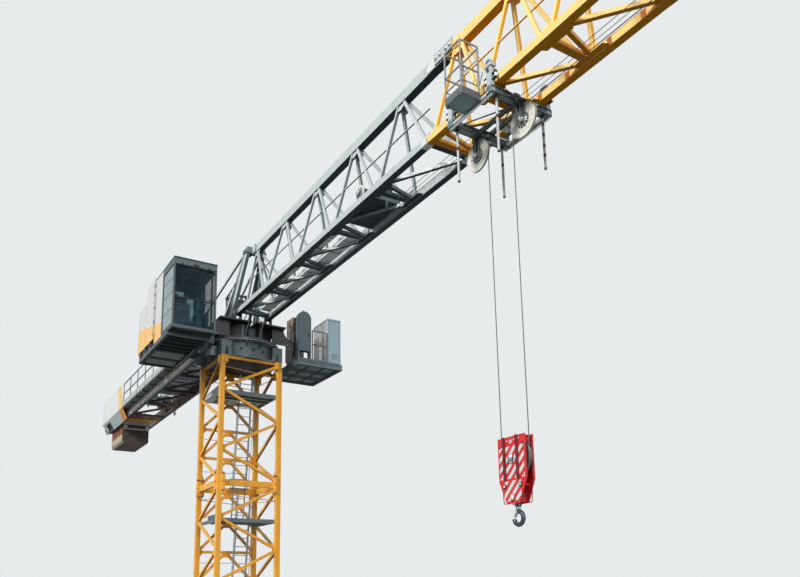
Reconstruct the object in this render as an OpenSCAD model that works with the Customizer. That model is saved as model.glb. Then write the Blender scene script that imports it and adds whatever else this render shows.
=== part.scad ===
/* [Base] */
// Height of the crossed base beams
base_h = 300; // [220:10:420]
// Width of a base beam
base_beam_w = 260; // [240:10:300]
// Side of a square foot plate
foot_plate_w = 700; // [680:10:800]
// Thickness of a foot plate
foot_plate_t = 40; // [30:5:60]
// Pitch circle of the four anchor holes in a foot plate
anchor_pcd = 560; // [550:5:620]
// Radius of an anchor hole
anchor_r = 20; // [14:1:24]
// Side of the square seat plate under a tower leg
seat_w = 440; // [380:10:480]
// Thickness of a seat plate
seat_t = 30; // [20:5:50]

/* [Tower] */
// Number of tower sections
tower_sections = 3; // [2:1:4]
// Height of one tower section
section_h = 4140; // [3900:20:4500]
// Distance between the centres of neighbouring legs
leg_spacing = 1974; // [1900:2:2100]
// Width of a square leg
leg_w = 150; // [130:5:180]
// Width of a tower brace seen from outside
brace_w = 88; // [60:2:110]
// Depth of a tower brace through its side
brace_d = 70; // [50:5:90]
// Height of the rail at the top and bottom of each section
rail_h = 96; // [70:2:120]
// Distance from a section's end to its first brace joint
brace_inset = 100; // [80:10:160]
// Height of a bolt lug on each side of a joint
lug_h = 230; // [180:10:300]
// How far a bolt lug stands out beside its leg
lug_w = 82; // [60:2:110]
// Depth of a bolt lug
lug_d = 120; // [100:5:140]
// Gap between the faces of bolted sections
joint_gap = 0.5; // [0.2:0.1:0.9]

/* [Rest platforms and ladders] */
// Depth of a rest platform's deck below the top of its section
platform_drop = 1100; // [900:20:1500]
// Thickness of a deck
deck_t = 40; // [20:5:60]
// Height of the edge beams and ribs of a deck
deck_beam_h = 120; // [80:10:160]
// Width of a rib under a deck
deck_rib_w = 60; // [40:5:80]
// Length of a deck's hatch along X
hatch_l = 760; // [700:10:800]
// Width of a deck's hatch along Y
hatch_w = 670; // [600:10:700]
// Deck left behind the hatch for the next ladder's foot
hatch_back = 190; // [160:5:220]
// Place of the hatch and ladders along Y
ladder_y = 300; // [240:10:320]
// Width of a ladder between its stringers' centres
ladder_w = 420; // [360:10:460]
// Spacing of the rungs
rung_pitch = 280; // [240:10:320]
// Radius of a rung
rung_r = 13; // [9:1:18]
// Width of a stringer along X
stringer_w = 60; // [40:5:70]
// Thickness of a stringer
stringer_t = 25; // [16:1:30]
// Distance that a ladder moves forward for each section height
ladder_lean = 520; // [400:10:560]
// How far a ladder stands above the deck that it leads to
ladder_reach = 900; // [600:20:1000]

/* [Slewing support and turntable] */
// Height of the fixed slewing support with its flange
support_h = 590; // [540:10:700]
// Radius of the support's drum
support_r = 1120; // [1090:5:1160]
// Side of a corner box on the support
corner_box_w = 350; // [300:10:380]
// Height of a corner box
corner_box_h = 500; // [420:10:520]
// Radius of the slewing ring's flanges
ring_r = 1300; // [1240:5:1320]
// Thickness of each ring flange
ring_t = 50; // [40:5:70]
// Gap inside the slewing ring
ring_gap = 0.5; // [0.3:0.1:0.9]
// Radius of a hand hole in the support's drum
hand_hole_r = 45; // [30:1:60]
// Radius of a slewing drive's housing
drive_r = 230; // [180:5:250]
// Height of a slewing drive's housing
drive_h = 430; // [380:10:460]
// Distance between the two slewing drives
drive_spacing = 900; // [760:10:1000]
// Number of ribs around the turntable's drum
turret_ribs = 10; // [6:1:14]
// Radius of the turntable's drum
turret_r = 900; // [820:10:960]
// Height of the turntable's top above the tower
turret_top = 1250; // [1200:10:1320]
// Half length of the turntable's top plate along X
turret_half_x = 1150; // [1120:10:1200]
// Half width of the turntable's top plate along Y
turret_half_y = 1150; // [1120:10:1200]
// Thickness of the turntable's plates
turret_plate_t = 50; // [30:5:60]
// Place of the side brackets along X
bracket_x = 900; // [820:10:960]
// Distance from the axis to the cab's inner wall
cab_inner_y = 1460; // [1440:10:1500]
// Distance from the axis to the end of the brackets for the service platform
bracket_reach = 1500; // [1480:10:1540]
// Radius of the hollow in a side bracket's outer edge
bracket_cut_r = 420; // [300:10:480]
// Width of the rope slot through the turntable
rope_slot_w = 120; // [80:10:160]

/* [Jib] */
// Height of the lower chords' underside above the tower
jib_drop = 1400; // [1360:10:1480]
// Width of the square lower chords
chord_w = 160; // [140:5:180]
// Distance from the jib's centre to a lower chord's centre
chord_y = 530; // [510:5:600]
// Clear height between the lower chords and the top chord
jib_clear_h = 2010; // [1800:10:2200]
// Width of the top chord
top_chord_w = 200; // [200:5:240]
// Height of the top chord
top_chord_h = 260; // [200:10:300]
// Distance from the slewing axis to the jib's first joint
heel_x = 1078; // [1060:2:1100]
// Length of a bay in the inner jib
inner_bay = 2172; // [2100:4:2240]
// Number of bays in the inner jib
inner_bays = 5; // [5:1:6]
// Length of a bay in the outer jib
outer_bay = 1654; // [1600:2:1700]
// Number of bays in the outer jib
outer_bays = 6; // [6:1:7]
// How far an upper joint lies ahead of its lower joint
top_lead = 450; // [300:10:600]
// Width of a web brace
web_w = 70; // [60:2:110]
// Depth of a web brace
web_d = 65; // [50:5:80]
// Half the distance between two braces at a lower joint
web_split = 150; // [110:5:190]
// Half the distance between two braces at an upper joint
web_split_top = 120; // [90:5:160]
// Width of the hand line along the webs
hand_line_w = 28; // [24:2:50]
// Width of a cross member in the jib's floor
floor_cross_w = 140; // [100:5:180]
// Width of a diagonal in the jib's floor
floor_brace_w = 80; // [50:5:110]
// How far a floor brace's joint on the left chord lies ahead of the cross member
floor_apex = 350; // [250:10:450]
// Radius of a heel pin
heel_pin_r = 35; // [28:1:45]

/* [Head frame] */
// Width of a head frame leg
head_leg_w = 120; // [90:5:140]
// Distance from the centre to a head leg's foot
head_foot_y = 500; // [420:10:560]
// Distance from the centre to a head leg's top
head_top_y = 260; // [220:10:300]
// Distance along X to a front leg's foot
head_front_x = 60; // [20:10:120]
// Distance behind the axis to a back leg's foot
head_back_x = 900; // [700:20:1000]
// Height of the head above the tower
head_h = 3860; // [3840:10:3960]
// Width of a tie bar
tie_w = 60; // [40:5:80]
// Height of a tie bar
tie_h = 90; // [60:5:110]
// Distance behind the axis to the ties' feet
tie_foot_x = 6200; // [5600:50:6500]

/* [Counter-jib] */
// Distance from the axis to the counter-jib's tail
tail_x = 17300; // [16800:50:17600]
// Distance from the centre to a main beam's outer face
beam_out_y = 810; // [790:5:840]
// Width of a main beam
beam_w = 120; // [100:5:140]
// Height of a main beam
beam_h = 490; // [440:10:520]
// Height of the main beams' underside above the tower
beam_drop = 850; // [820:10:880]
// Depth of the recess in a beam's outer side
beam_recess = 45; // [30:5:60]
// Height of a beam's lower flange
beam_flange = 140; // [100:10:160]
// Spacing of the cross bars
cross_pitch = 2440; // [2300:20:2500]
// Width of a cross bar
cross_w = 100; // [80:5:120]
// Width of the walkway beside the beam
walk_w = 290; // [260:10:340]
// Thickness of the walkway
walk_t = 60; // [40:5:80]
// Height of the walkway's toe board
toe_h = 250; // [150:10:280]
// Distance from the axis to the walkway's front end
walk_x = 1900; // [1800:20:2200]
// Length of the deck sheets between the beams
deck_l = 7600; // [6000:50:8000]
// Height of the railings
rail_height = 1120; // [1000:20:1200]
// Width of a railing bar
rail_bar = 36; // [28:2:50]
// Length of the tail cover
cover_l = 4500; // [4200:20:4700]
// How far the tail cover's front edge leans back at its top
cover_lean = 380; // [200:10:500]
// Length of the sheet under the tail, in front of the slabs
tail_sheet_l = 1400; // [1200:20:1500]
// Thickness of the cover sheets
sheet_t = 15; // [10:1:20]
// Length of one counterweight slab
slab_l = 290; // [260:5:300]
// Number of counterweight slabs
slabs = 8; // [4:1:8]
// Gap between two slabs
slab_gap = 15; // [10:5:20]
// Distance from the counter-jib's tail to the last slab
slab_inset = 200; // [160:10:260]
// Clearance between a slab and a main beam
slab_clear = 40; // [20:5:60]
// Size of the chamfer along a slab's foot
slab_chamfer = 90; // [60:10:120]
// Depth of the slabs below the tower's top
slab_drop = 40; // [0:10:150]
// Height of a slab's ears above the beams
slab_ear_h = 200; // [150:10:260]

/* [Winches and ropes] */
// Radius of the hoist rope
rope_r = 9; // [7:0.5:12]
// Radius of a trolley rope
line_r = 6; // [4:0.5:8]
// Radius of the hoist drum where the rope leaves it
hoist_drum_r = 250; // [220:5:260]
// Distance from the axis to the hoist drum
hoist_x = 11200; // [11100:20:11300]
// Radius of the hoist drum's flanges
hoist_flange_r = 325; // [300:5:340]
// Width of the hoist drum between its flanges
hoist_drum_w = 560; // [480:10:600]
// Radius of a stub shaft
shaft_r = 40; // [30:1:45]
// Clearance of a shaft or pin in its bore
fit = 0.06; // [0.03:0.01:0.1]
// Gap between a rope and the groove it lies in
groove_gap = 0.5; // [0.3:0.1:0.8]
// Distance along X to the trolley winch's drum
trolley_winch_x = 8750; // [8600:50:8900]
// Radius of the trolley winch's drum
trolley_drum_r = 150; // [120:5:160]
// Width of the trolley winch's drum between its flanges
trolley_drum_w = 280; // [240:10:300]
// Height of the trolley winch's drum over its base plate
trolley_drum_rise = 390; // [240:10:420]

/* [Trolley] */
// Distance from the axis to the trolley's centre
trolley_x = 13440; // [13000:20:13800]
// Distance between the trolley's cross beams
wheelbase = 1150; // [1100:10:1200]
// Width of a trolley cross beam
trolley_beam_w = 120; // [90:5:130]
// Height of a trolley cross beam
trolley_beam_h = 120; // [90:5:120]
// Gap between the cross beams and the chords
trolley_gap = 100; // [90:5:110]
// Radius of a roller
roller_r = 70; // [60:2:80]
// Width of a roller
roller_w = 44; // [36:2:46]
// Gap between a roller and the chord
roller_gap = 0.3; // [0.2:0.1:0.5]
// Clearance between the chord and a side post
post_gap = 30; // [25:5:40]
// Width of a side post
post_w = 80; // [60:5:90]
// Distance between the rope falls
fall_spacing = 700; // [680:5:720]
// Pitch radius of a trolley sheave
sheave_r = 300; // [290:5:310]
// How far a sheave's rim stands outside its pitch radius
rim_h = 25; // [20:1:28]
// Length of a bumper rod below its cross beam
rod_l = 1110; // [900:20:1150]
// Radius of a bumper rod
rod_r = 25; // [18:1:30]
// Length of the service basket
basket_l = 480; // [440:10:520]
// Width of the service basket
basket_w = 430; // [400:10:470]
// Height of the service basket
basket_h = 1100; // [1000:10:1150]
// Width of a basket bar
basket_bar = 24; // [20:2:36]

/* [Hook block] */
// Depth of the block's top below the tower's top
block_drop = 4930; // [4900:10:5200]
// Height of the block's cheeks
block_h = 1170; // [1150:10:1250]
// Half width of a cheek
cheek_half = 340; // [330:5:350]
// Half width of a cheek at its foot
cheek_foot = 165; // [150:5:200]
// Height of a cheek's tapered foot
taper_h = 400; // [360:10:430]
// Thickness of a cheek
cheek_t = 25; // [20:1:30]
// Clear distance between the cheeks
cheek_gap = 160; // [150:2:180]
// Depth of the block sheave's axis below the block's top
axle_drop = 370; // [365:5:400]
// Radius of the hook's centre line
hook_r = 112; // [105:1:125]
// Radius of the hook's round section
hook_bar_r = 40; // [34:1:44]
// Radius of the hook's shank
shank_r = 35; // [28:1:38]

/* [Cab and platforms] */
// Distance along X to the cab's front
cab_front_x = 1600; // [1560:10:1640]
// Length of the cab
cab_l = 2080; // [2040:10:2120]
// Width of the cab
cab_w = 1370; // [1340:10:1400]
// Height of the cab's floor above the tower
cab_drop = 450; // [450:10:480]
// Height of the cab
cab_h = 2250; // [2200:10:2300]
// Thickness of the cab's walls
cab_wall = 40; // [30:5:50]
// Width of the cab's window posts
cab_post = 50; // [40:5:60]
// Length of the side windows
window_l = 1120; // [1080:10:1140]
// Height of the front fascia above the windscreen
fascia_h = 210; // [160:10:240]
// Thickness of the glass
glass_t = 12; // [8:1:16]
// Length of the housing behind the cab
housing_l = 2000; // [1960:10:2040]
// Height of the housing's underside above the tower
housing_drop = 700; // [680:10:720]
// Height of the cab platform's frame
cab_frame_h = 150; // [120:10:160]
// Length of the cab platform behind the cab
cab_frame_l = 1820; // [1700:20:1900]
// Height of the service platform's frame
platform_h = 200; // [180:10:220]
// Distance from the axis to the side platforms' inner edges
platform_in_y = 1560; // [1560:10:1580]
// Width of the service platform
service_w = 1690; // [1640:10:1720]
// Height of the service cabinets' tops above the deck
cabinet_h = 1650; // [1500:10:1750]
// Length of the service platform
service_l = 2250; // [2200:10:2300]
// Distance along X to the service platform's front edge
service_front_x = 1250; // [1220:10:1280]
// Width of the platforms' frame beams
frame_beam_w = 80; // [60:5:90]

/* [Hidden] */
$fn = 48;
eps = 0.1;

tower_yellow = [0.96, 0.66, 0.10];
steel_grey = [0.42, 0.47, 0.50];
dark_grey = [0.20, 0.24, 0.27];
rope_grey = [0.30, 0.32, 0.33];
pale_grey = [0.78, 0.80, 0.81];

leg_half = leg_spacing / 2;
leg_in = leg_half - leg_w / 2;
leg_out = leg_half + leg_w / 2;
tower_top = base_h + tower_sections * section_h;
panel_h = (section_h - 2 * brace_inset) / 4;

lower_z = tower_top + jib_drop;
web_z = lower_z + chord_w;
top_z = web_z + jib_clear_h;
joint_x = heel_x + inner_bays * inner_bay;
tip_x = joint_x + outer_bays * outer_bay;
outer_joint_x = joint_x + 3 * outer_bay;
chord_in_y = chord_y - chord_w / 2;
chord_out_y = chord_y + chord_w / 2;
web_foot_y = chord_in_y + web_d / 2 + 15;
web_top_y = web_d / 2 + 18;
floor_t = 80;
floor_z = lower_z + (chord_w - floor_t) / 2;

turret_z = tower_top + turret_top;
ring_z = tower_top + support_h + ring_gap;
bracket_z = ring_z + ring_t + 40;
beam_z = tower_top + beam_drop;
beam_top_z = beam_z + beam_h;
beam_in_y = beam_out_y - beam_w;
walk_out_y = beam_out_y + walk_w;

trolley_beam_z = lower_z - trolley_gap - trolley_beam_h;
sheave_top_gap = 15;
sheave_z = trolley_beam_z - sheave_top_gap - rim_h - sheave_r;
sheave_x = fall_spacing / 2 + sheave_r;
rope_z = sheave_z + sheave_r;
hoist_z = rope_z + hoist_drum_r;
line_z = lower_z - 40;
post_in_y = chord_out_y + post_gap;
post_out_y = post_in_y + post_w;
block_r = fall_spacing / 2;
block_z = tower_top - block_drop;
axle_z = block_z - axle_drop;
cheek_out_y = cheek_gap / 2 + cheek_t;

cab_out_y = cab_inner_y + cab_w;
cab_z = tower_top + cab_drop;
cab_back_x = cab_front_x - cab_l;
cab_frame_z = cab_z - cab_frame_h;
frame_top_z = tower_top + platform_h;
sweep_r = leg_out * sqrt(2) + 30;
cover_x = tail_x - cover_l;
slabs_x = tail_x - slab_inset - slabs * (slab_l + slab_gap);
tail_sheet_x = slabs_x - 180;
fold_drop = 30;
dome_w = 500;
dome_leg_w = 60;
dome_leg_h = 330;
cabinet_w = 500;
cabinet_edge = 25;

// A flat bar drawn from p to q
module flat_bar(p, q, w) {
    run = q - p;
    translate(p) rotate(atan2(run[1], run[0])) translate([0, -w / 2]) square([norm(run), w]);
}

// A straight box bar from p to q, w wide across and d deep
module bar(p, q, w, d) {
    run = q - p;
    len = norm(run);
    translate(p)
        rotate([0, acos(run[2] / len), atan2(run[1], run[0])])
            translate([-d / 2, -w / 2, 0])
                cube([d, w, len]);
}

// A box given by its two opposite corners
module box(a, b) {
    translate(a) cube(b - a);
}

// A cylinder along Y between y0 and y1
module y_cylinder(x, z, y0, y1, r) {
    translate([x, y0, z]) rotate([-90, 0, 0]) cylinder(r = r, h = y1 - y0);
}

// The same piece on both sides of the jib's centre plane
module both_sides() {
    children();
    mirror([0, 1, 0]) children();
}

// The same piece at all four tower legs
module four_corners() {
    both_sides() children();
    mirror([1, 0, 0]) both_sides() children();
}

// A grooved rope sheave about the origin, with its axis along Y
module sheave(pitch_r, hub_w, bore_r) {
    rim_half = rope_r + 12;
    groove_half = rope_r + 5;
    floor_r = pitch_r - rope_r - groove_gap;
    web_half = 12;
    hub_r = bore_r * 2.2;
    half = [
        [bore_r, hub_w / 2], [hub_r, hub_w / 2], [hub_r, web_half], [floor_r - 40, web_half],
        [floor_r - 20, rim_half], [pitch_r + rim_h, rim_half], [pitch_r + rim_h, groove_half],
        [floor_r, rope_r]
    ];
    other = [for (i = [len(half) - 1 : -1 : 0]) [half[i][0], -half[i][1]]];
    rotate([-90, 0, 0]) rotate_extrude() polygon(concat(half, other));
}

module base_frame() color(tower_yellow) {
    reach = leg_half * sqrt(2) + foot_plate_w / 3;
    difference() {
        union() {
            for (turn = [45, 135])
                rotate(turn) translate([-reach, -base_beam_w / 2, 0]) cube([2 * reach, base_beam_w, base_h]);
            four_corners() translate([leg_half, leg_half, 0]) {
                translate([-foot_plate_w / 2, -foot_plate_w / 2, 0])
                    cube([foot_plate_w, foot_plate_w, foot_plate_t]);
                translate([-seat_w / 2, -seat_w / 2, base_h - seat_t]) cube([seat_w, seat_w, seat_t]);
            }
        }
        four_corners() translate([leg_half, leg_half, -eps])
            for (turn = [0 : 90 : 270])
                rotate(turn) translate([anchor_pcd / 2, 0, 0]) cylinder(r = anchor_r, h = foot_plate_t + 1);
    }
}

// One leg of one section, with its bolt lugs, at the corner on +X and +Y
module leg() {
    h = section_h - joint_gap;
    translate([leg_in, leg_in, 0]) cube([leg_w, leg_w, h]);
    for (z = [0, h - lug_h]) {
        translate([leg_in - lug_w, leg_half - lug_d / 2, z]) cube([lug_w + eps, lug_d, lug_h]);
        translate([leg_half - lug_d / 2, leg_in - lug_w, z]) cube([lug_d, lug_w + eps, lug_h]);
    }
}

module tower_legs() color(tower_yellow) {
    for (i = [0 : tower_sections - 1])
        translate([0, 0, base_h + i * section_h]) four_corners() leg();
}

// The outline inside which one side of one section is braced
module side_field() {
    h = section_h - joint_gap;
    difference() {
        translate([-leg_in, 0]) square([2 * leg_in, h]);
        for (x = [-leg_in - eps, leg_in - lug_w]) {
            translate([x, -eps]) square([lug_w + eps, lug_h + eps]);
            translate([x, h - lug_h]) square([lug_w + eps, lug_h + eps]);
        }
    }
}

// Height of brace joint k below the section's top
function brace_level(k) = section_h - brace_inset - k * panel_h;

module section_rails() {
    for (z = [0, section_h - rail_h - joint_gap])
        translate([-leg_half, z]) square([leg_spacing, rail_h]);
}

// A side braced by one zigzag that starts at the top on the side first
module zigzag_side(first) {
    linear_extrude(brace_d, center = true) intersection() {
        side_field();
        union() {
            section_rails();
            for (k = [0 : 3]) {
                side = k % 2 == 0 ? first : -first;
                flat_bar([side * leg_half, brace_level(k)], [-side * leg_half, brace_level(k + 1)], brace_w);
            }
        }
    }
}

// A side with level bars and a pair of braces under each
module k_side() {
    linear_extrude(brace_d, center = true) intersection() {
        side_field();
        union() {
            section_rails();
            for (k = [0 : 3]) {
                if (k > 0)
                    flat_bar([-leg_half, brace_level(k)], [leg_half, brace_level(k)], brace_w);
                for (side = [-1, 1])
                    flat_bar([0, brace_level(k)], [side * leg_half, brace_level(k + 1)], brace_w);
            }
        }
    }
}

// The same side drawing on every section, standing in its plane
module each_section() {
    for (i = [0 : tower_sections - 1])
        translate([0, 0, base_h + i * section_h]) children();
}

module tower_side_left() color(tower_yellow)
    each_section() translate([0, -leg_half, 0]) rotate([90, 0, 0]) zigzag_side(1);

module tower_side_right() color(tower_yellow)
    each_section() translate([0, leg_half, 0]) rotate([90, 0, 0]) zigzag_side(1);

module tower_side_front() color(tower_yellow)
    each_section() translate([leg_half, 0, 0]) rotate([90, 0, 90]) zigzag_side(1);

module tower_side_back() color(tower_yellow)
    each_section() translate([-leg_half, 0, 0]) rotate([90, 0, 90]) k_side();

function deck_z(i) = base_h + (i + 1) * section_h - platform_drop;

hatch_x = -leg_in + hatch_back;
hatch_y = ladder_y - hatch_w / 2 + 60;
ladder_foot_x = -leg_in + hatch_back / 2;

module rest_platforms() color(steel_grey) {
    edge_out = leg_half - brace_d / 2;
    for (i = [0 : tower_sections - 1]) translate([0, 0, deck_z(i)]) {
        difference() {
            box([-leg_in, -leg_in, -deck_t], [leg_in, leg_in, 0]);
            box([hatch_x, hatch_y, -deck_t - 1], [hatch_x + hatch_l, hatch_y + hatch_w, 1]);
        }
        both_sides() box([-leg_in, leg_in - eps, -deck_beam_h], [leg_in, edge_out, 0]);
        for (x = [hatch_x + hatch_l + 40, leg_in - 460, leg_in - deck_rib_w])
            box([x, -leg_in, -deck_beam_h], [x + deck_rib_w, leg_in, -deck_t + eps]);
    }
}

// One leaning ladder with its foot at z0 and its top at z1
module ladder(z0, z1) {
    lean = atan2(ladder_lean, section_h);
    l = (z1 - z0) / cos(lean);
    intersection() {
        translate([ladder_foot_x, ladder_y, z0]) rotate([0, lean, 0]) {
            for (side = [-1, 1])
                translate([-stringer_w / 2, side * ladder_w / 2 - stringer_t / 2, -stringer_w])
                    cube([stringer_w, stringer_t, l + stringer_w]);
            for (z = [rung_pitch : rung_pitch : l - 50])
                translate([0, -ladder_w / 2, z]) rotate([-90, 0, 0]) cylinder(r = rung_r, h = ladder_w, $fn = 8);
        }
        translate([-leg_in, -leg_in, z0]) cube([2 * leg_in, 2 * leg_in, z1 - z0]);
    }
    clip_z = z1 - ladder_reach;
    clip_x = ladder_foot_x + (clip_z - z0) * tan(lean);
    box([clip_x - 40, hatch_y, clip_z - deck_t], [clip_x + 40, ladder_y - ladder_w / 2, clip_z - deck_t / 2]);
    box([clip_x - 40, ladder_y + ladder_w / 2, clip_z - deck_t],
        [clip_x + 40, hatch_y + hatch_w, clip_z - deck_t / 2]);
}

module tower_ladders() color(steel_grey) {
    for (i = [0 : tower_sections - 1])
        ladder(i == 0 ? 0 : deck_z(i - 1), deck_z(i) + ladder_reach);
}

module slewing_support() color(dark_grey) translate([0, 0, tower_top]) {
    drum_h = support_h - ring_t;
    difference() {
        union() {
            cylinder(r = support_r, h = drum_h + eps);
            translate([0, 0, drum_h]) cylinder(r = ring_r, h = ring_t);
            four_corners() translate([leg_out - corner_box_w, leg_out - corner_box_w, 0])
                cube([corner_box_w, corner_box_w, corner_box_h]);
            box([-leg_out, -leg_out, 0], [leg_out, leg_out, 40]);
            for (x = [-drive_spacing / 2, drive_spacing / 2])
                translate([x, -support_r - 60, 40 - eps]) {
                    cylinder(r = drive_r, h = drive_h - drive_r / 2 - 40);
                    translate([0, 0, drive_h - drive_r / 2 - 40]) scale([1, 1, 0.5]) sphere(r = drive_r);
                }
        }
        for (face = [0 : 90 : 270])
            for (turn = [-20, 0, 20])
                rotate(face + turn) translate([support_r - 60, 0, drum_h / 2])
                    rotate([0, 90, 0]) cylinder(r = hand_hole_r, h = 100);
    }
}

// One side bracket of the turntable, reaching out to y and down to the platform's top at z1
module side_bracket(x, y, z1) {
    drop_y = sqrt(pow(sweep_r, 2) - pow(x - turret_plate_t / 2, 2));
    translate([x - turret_plate_t / 2, 0, 0]) rotate([90, 0, 90]) linear_extrude(turret_plate_t) difference() {
        polygon([[turret_r - 150, bracket_z], [drop_y, bracket_z], [drop_y, z1 - 120], [platform_in_y, z1 - 120],
            [platform_in_y, z1], [y, z1], [y, turret_z - eps], [turret_r - 150, turret_z - eps]]);
        translate([turret_half_y + bracket_cut_r + 12, turret_z]) circle(r = bracket_cut_r);
    }
}

// The two lugs that hold one lower chord's heel, with their pin
module heel_lugs() {
    lug_t = 25;
    for (y = [chord_in_y - 2 - lug_t, chord_out_y + 2])
        box([heel_x - 128, y, turret_z - eps], [heel_x + 72, y + lug_t, web_z]);
    y_cylinder(heel_x - 28, lower_z + chord_w / 2, chord_in_y - 2 - lug_t, chord_out_y + 2 + lug_t, heel_pin_r);
}

module turntable() color(dark_grey) {
    difference() {
        union() {
            translate([0, 0, ring_z]) cylinder(r = ring_r - 10, h = ring_t);
            translate([0, 0, ring_z]) cylinder(r = turret_r, h = turret_z - ring_z - eps);
            box([-turret_half_x, -turret_half_y, turret_z - turret_plate_t],
                [turret_half_x, turret_half_y, turret_z]);
            for (x = [-bracket_x, bracket_x]) {
                mirror([0, 1, 0]) side_bracket(x, cab_inner_y, cab_z);
                side_bracket(x, bracket_reach, frame_top_z);
            }
            for (i = [0 : turret_ribs - 1])
                rotate((i + 0.5) * 360 / turret_ribs)
                    box([turret_r - 50, -12, ring_z + ring_t - eps], [turret_r + 130, 12, turret_z - turret_plate_t + eps]);
            box([-turret_half_x, -beam_out_y, beam_z], [-turret_half_x + turret_plate_t, beam_out_y, turret_z - eps]);
            both_sides() box([-turret_half_x, beam_in_y, beam_z], [-turret_r * 0.5, beam_out_y, turret_z - eps]);
            both_sides() heel_lugs();
        }
        box([-2 * ring_r, -rope_slot_w / 2, rope_z - rope_slot_w / 2], [2 * ring_r, rope_slot_w / 2, turret_z + 1]);
    }
}

// The centre of a head frame leg at height z, for a leg from foot_x to top_x
function head_leg_point(foot_x, top_x, top_drop, z) =
    let (foot = [foot_x, head_foot_y, turret_z - 100], top = [top_x, head_top_y, tower_top + head_h - top_drop])
        foot + (z - foot[2]) / (top[2] - foot[2]) * (top - foot);

// One leg of the head frame, standing on the turntable
module head_leg(foot_x, top_x, top_drop, w) {
    intersection() {
        bar(head_leg_point(foot_x, top_x, top_drop, turret_z - 100),
            head_leg_point(foot_x, top_x, top_drop, tower_top + head_h - top_drop), w, w);
        box([-3000, 0, turret_z], [3000, 1500, tower_top + head_h]);
    }
}

// A cross tube between the legs of one pair at height z
module head_tube(foot_x, top_x, top_drop, z, r) {
    p = head_leg_point(foot_x, top_x, top_drop, z);
    translate([p[0], -p[1], p[2]]) rotate([-90, 0, 0]) rotate(130) cylinder(r = r, h = 2 * p[1]);
}

module head_frame() color(dark_grey) {
    head_x = heel_x + 80;
    head_z = tower_top + head_h;
    plate_in = top_chord_w / 2 + 2;
    tie_y = beam_out_y - beam_w / 2;
    both_sides() {
        head_leg(head_front_x, head_x, 180, head_leg_w);
        head_leg(-head_back_x, head_x - 150, 130, head_leg_w * 0.8);
        box([head_x - 210, plate_in, top_z + 4], [heel_x + 382, plate_in + 30, head_z]);
        box([head_x - 190, plate_in + 20, head_z - 250], [head_x + 70, head_top_y + 70, head_z - 50]);
        bar([head_x - 120, head_top_y, head_z - 110], [-tie_foot_x, tie_y, beam_top_z + 65], tie_w, tie_h);
        box([-tie_foot_x - 160, tie_y - 50, beam_top_z], [-tie_foot_x + 160, tie_y + 50, beam_top_z + 120]);
    }
    box([head_x - 180, -plate_in - 10, head_z - 230], [head_x - 70, plate_in + 10, head_z - 70]);
    head_tube(head_front_x, head_x, 180, turret_z + 1050, 45);
    head_tube(-head_back_x, head_x - 150, 130, turret_z + 850, 38);
}

// One lower chord from x0 to x1
module lower_chord(x0, x1) {
    box([x0, chord_in_y, lower_z], [x1, chord_out_y, web_z]);
}

module jib_inner_chords() color(steel_grey) {
    end_x = joint_x - joint_gap;
    difference() {
        both_sides() lower_chord(heel_x - 108, end_x);
        both_sides() y_cylinder(heel_x - 28, lower_z + chord_w / 2, chord_in_y - 1, chord_out_y + 1, heel_pin_r + fit);
    }
    box([heel_x + 222, -top_chord_w / 2, top_z], [end_x, top_chord_w / 2, top_z + top_chord_h]);
    both_sides() box([joint_x - 320, top_chord_w / 2 - eps, top_z + 30], [joint_x + 300, top_chord_w / 2 + 25, top_z + 300]);
}

// A web of the jib on the side of -Y: bars run from lower x to upper x for each pair in runs
module web(x0, x1, runs, line_x0, line_x1) {
    lean = atan2(jib_clear_h, web_foot_y - web_top_y);
    rise = norm([jib_clear_h, web_foot_y - web_top_y]);
    over = 80;
    intersection() {
        translate([0, -web_foot_y, web_z]) rotate([lean, 0, 0]) {
            linear_extrude(web_d, center = true) for (run = runs) {
                step = (run[1] - run[0]) * over / rise;
                flat_bar([run[0] - step, -over], [run[1] + step, rise + over], web_w);
            }
            linear_extrude(hand_line_w, center = true)
                flat_bar([line_x0, rise * 0.47], [line_x1, rise * 0.47], hand_line_w);
        }
        box([x0, -chord_out_y, web_z], [x1, 0, top_z]);
    }
}

function inner_node(i) = heel_x + i * inner_bay;
function outer_node(i) = joint_x + i * outer_bay;

inner_runs = concat(
    [[heel_x + 700, heel_x + 320], [inner_node(1) - web_split, heel_x + 450]],
    [for (i = [1 : inner_bays - 1]) [inner_node(i) + web_split, inner_node(i) + top_lead - web_split_top]],
    [for (i = [1 : inner_bays - 1]) [inner_node(i + 1) - web_split, inner_node(i) + top_lead + web_split_top]]
);

outer_runs = concat(
    [for (i = [0 : outer_bays - 1]) [outer_node(i) + web_split * 0.8, outer_node(i) + top_lead - web_split_top]],
    [for (i = [0 : outer_bays - 1]) [outer_node(i + 1) - web_split * 0.8, outer_node(i) + top_lead + web_split_top]],
    [[tip_x - 60, tip_x - 60]]
);

module inner_web() {
    web(heel_x, joint_x - joint_gap, inner_runs, heel_x + 450, joint_x - 320);
}

module outer_web() {
    web(joint_x, tip_x, outer_runs, joint_x + 230, tip_x - 60);
}

module jib_inner_left_web() color(steel_grey) inner_web();
module jib_inner_right_web() color(steel_grey) mirror([0, 1, 0]) inner_web();
module jib_outer_left_web() color(tower_yellow) outer_web();
module jib_outer_right_web() color(tower_yellow) mirror([0, 1, 0]) outer_web();

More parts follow.
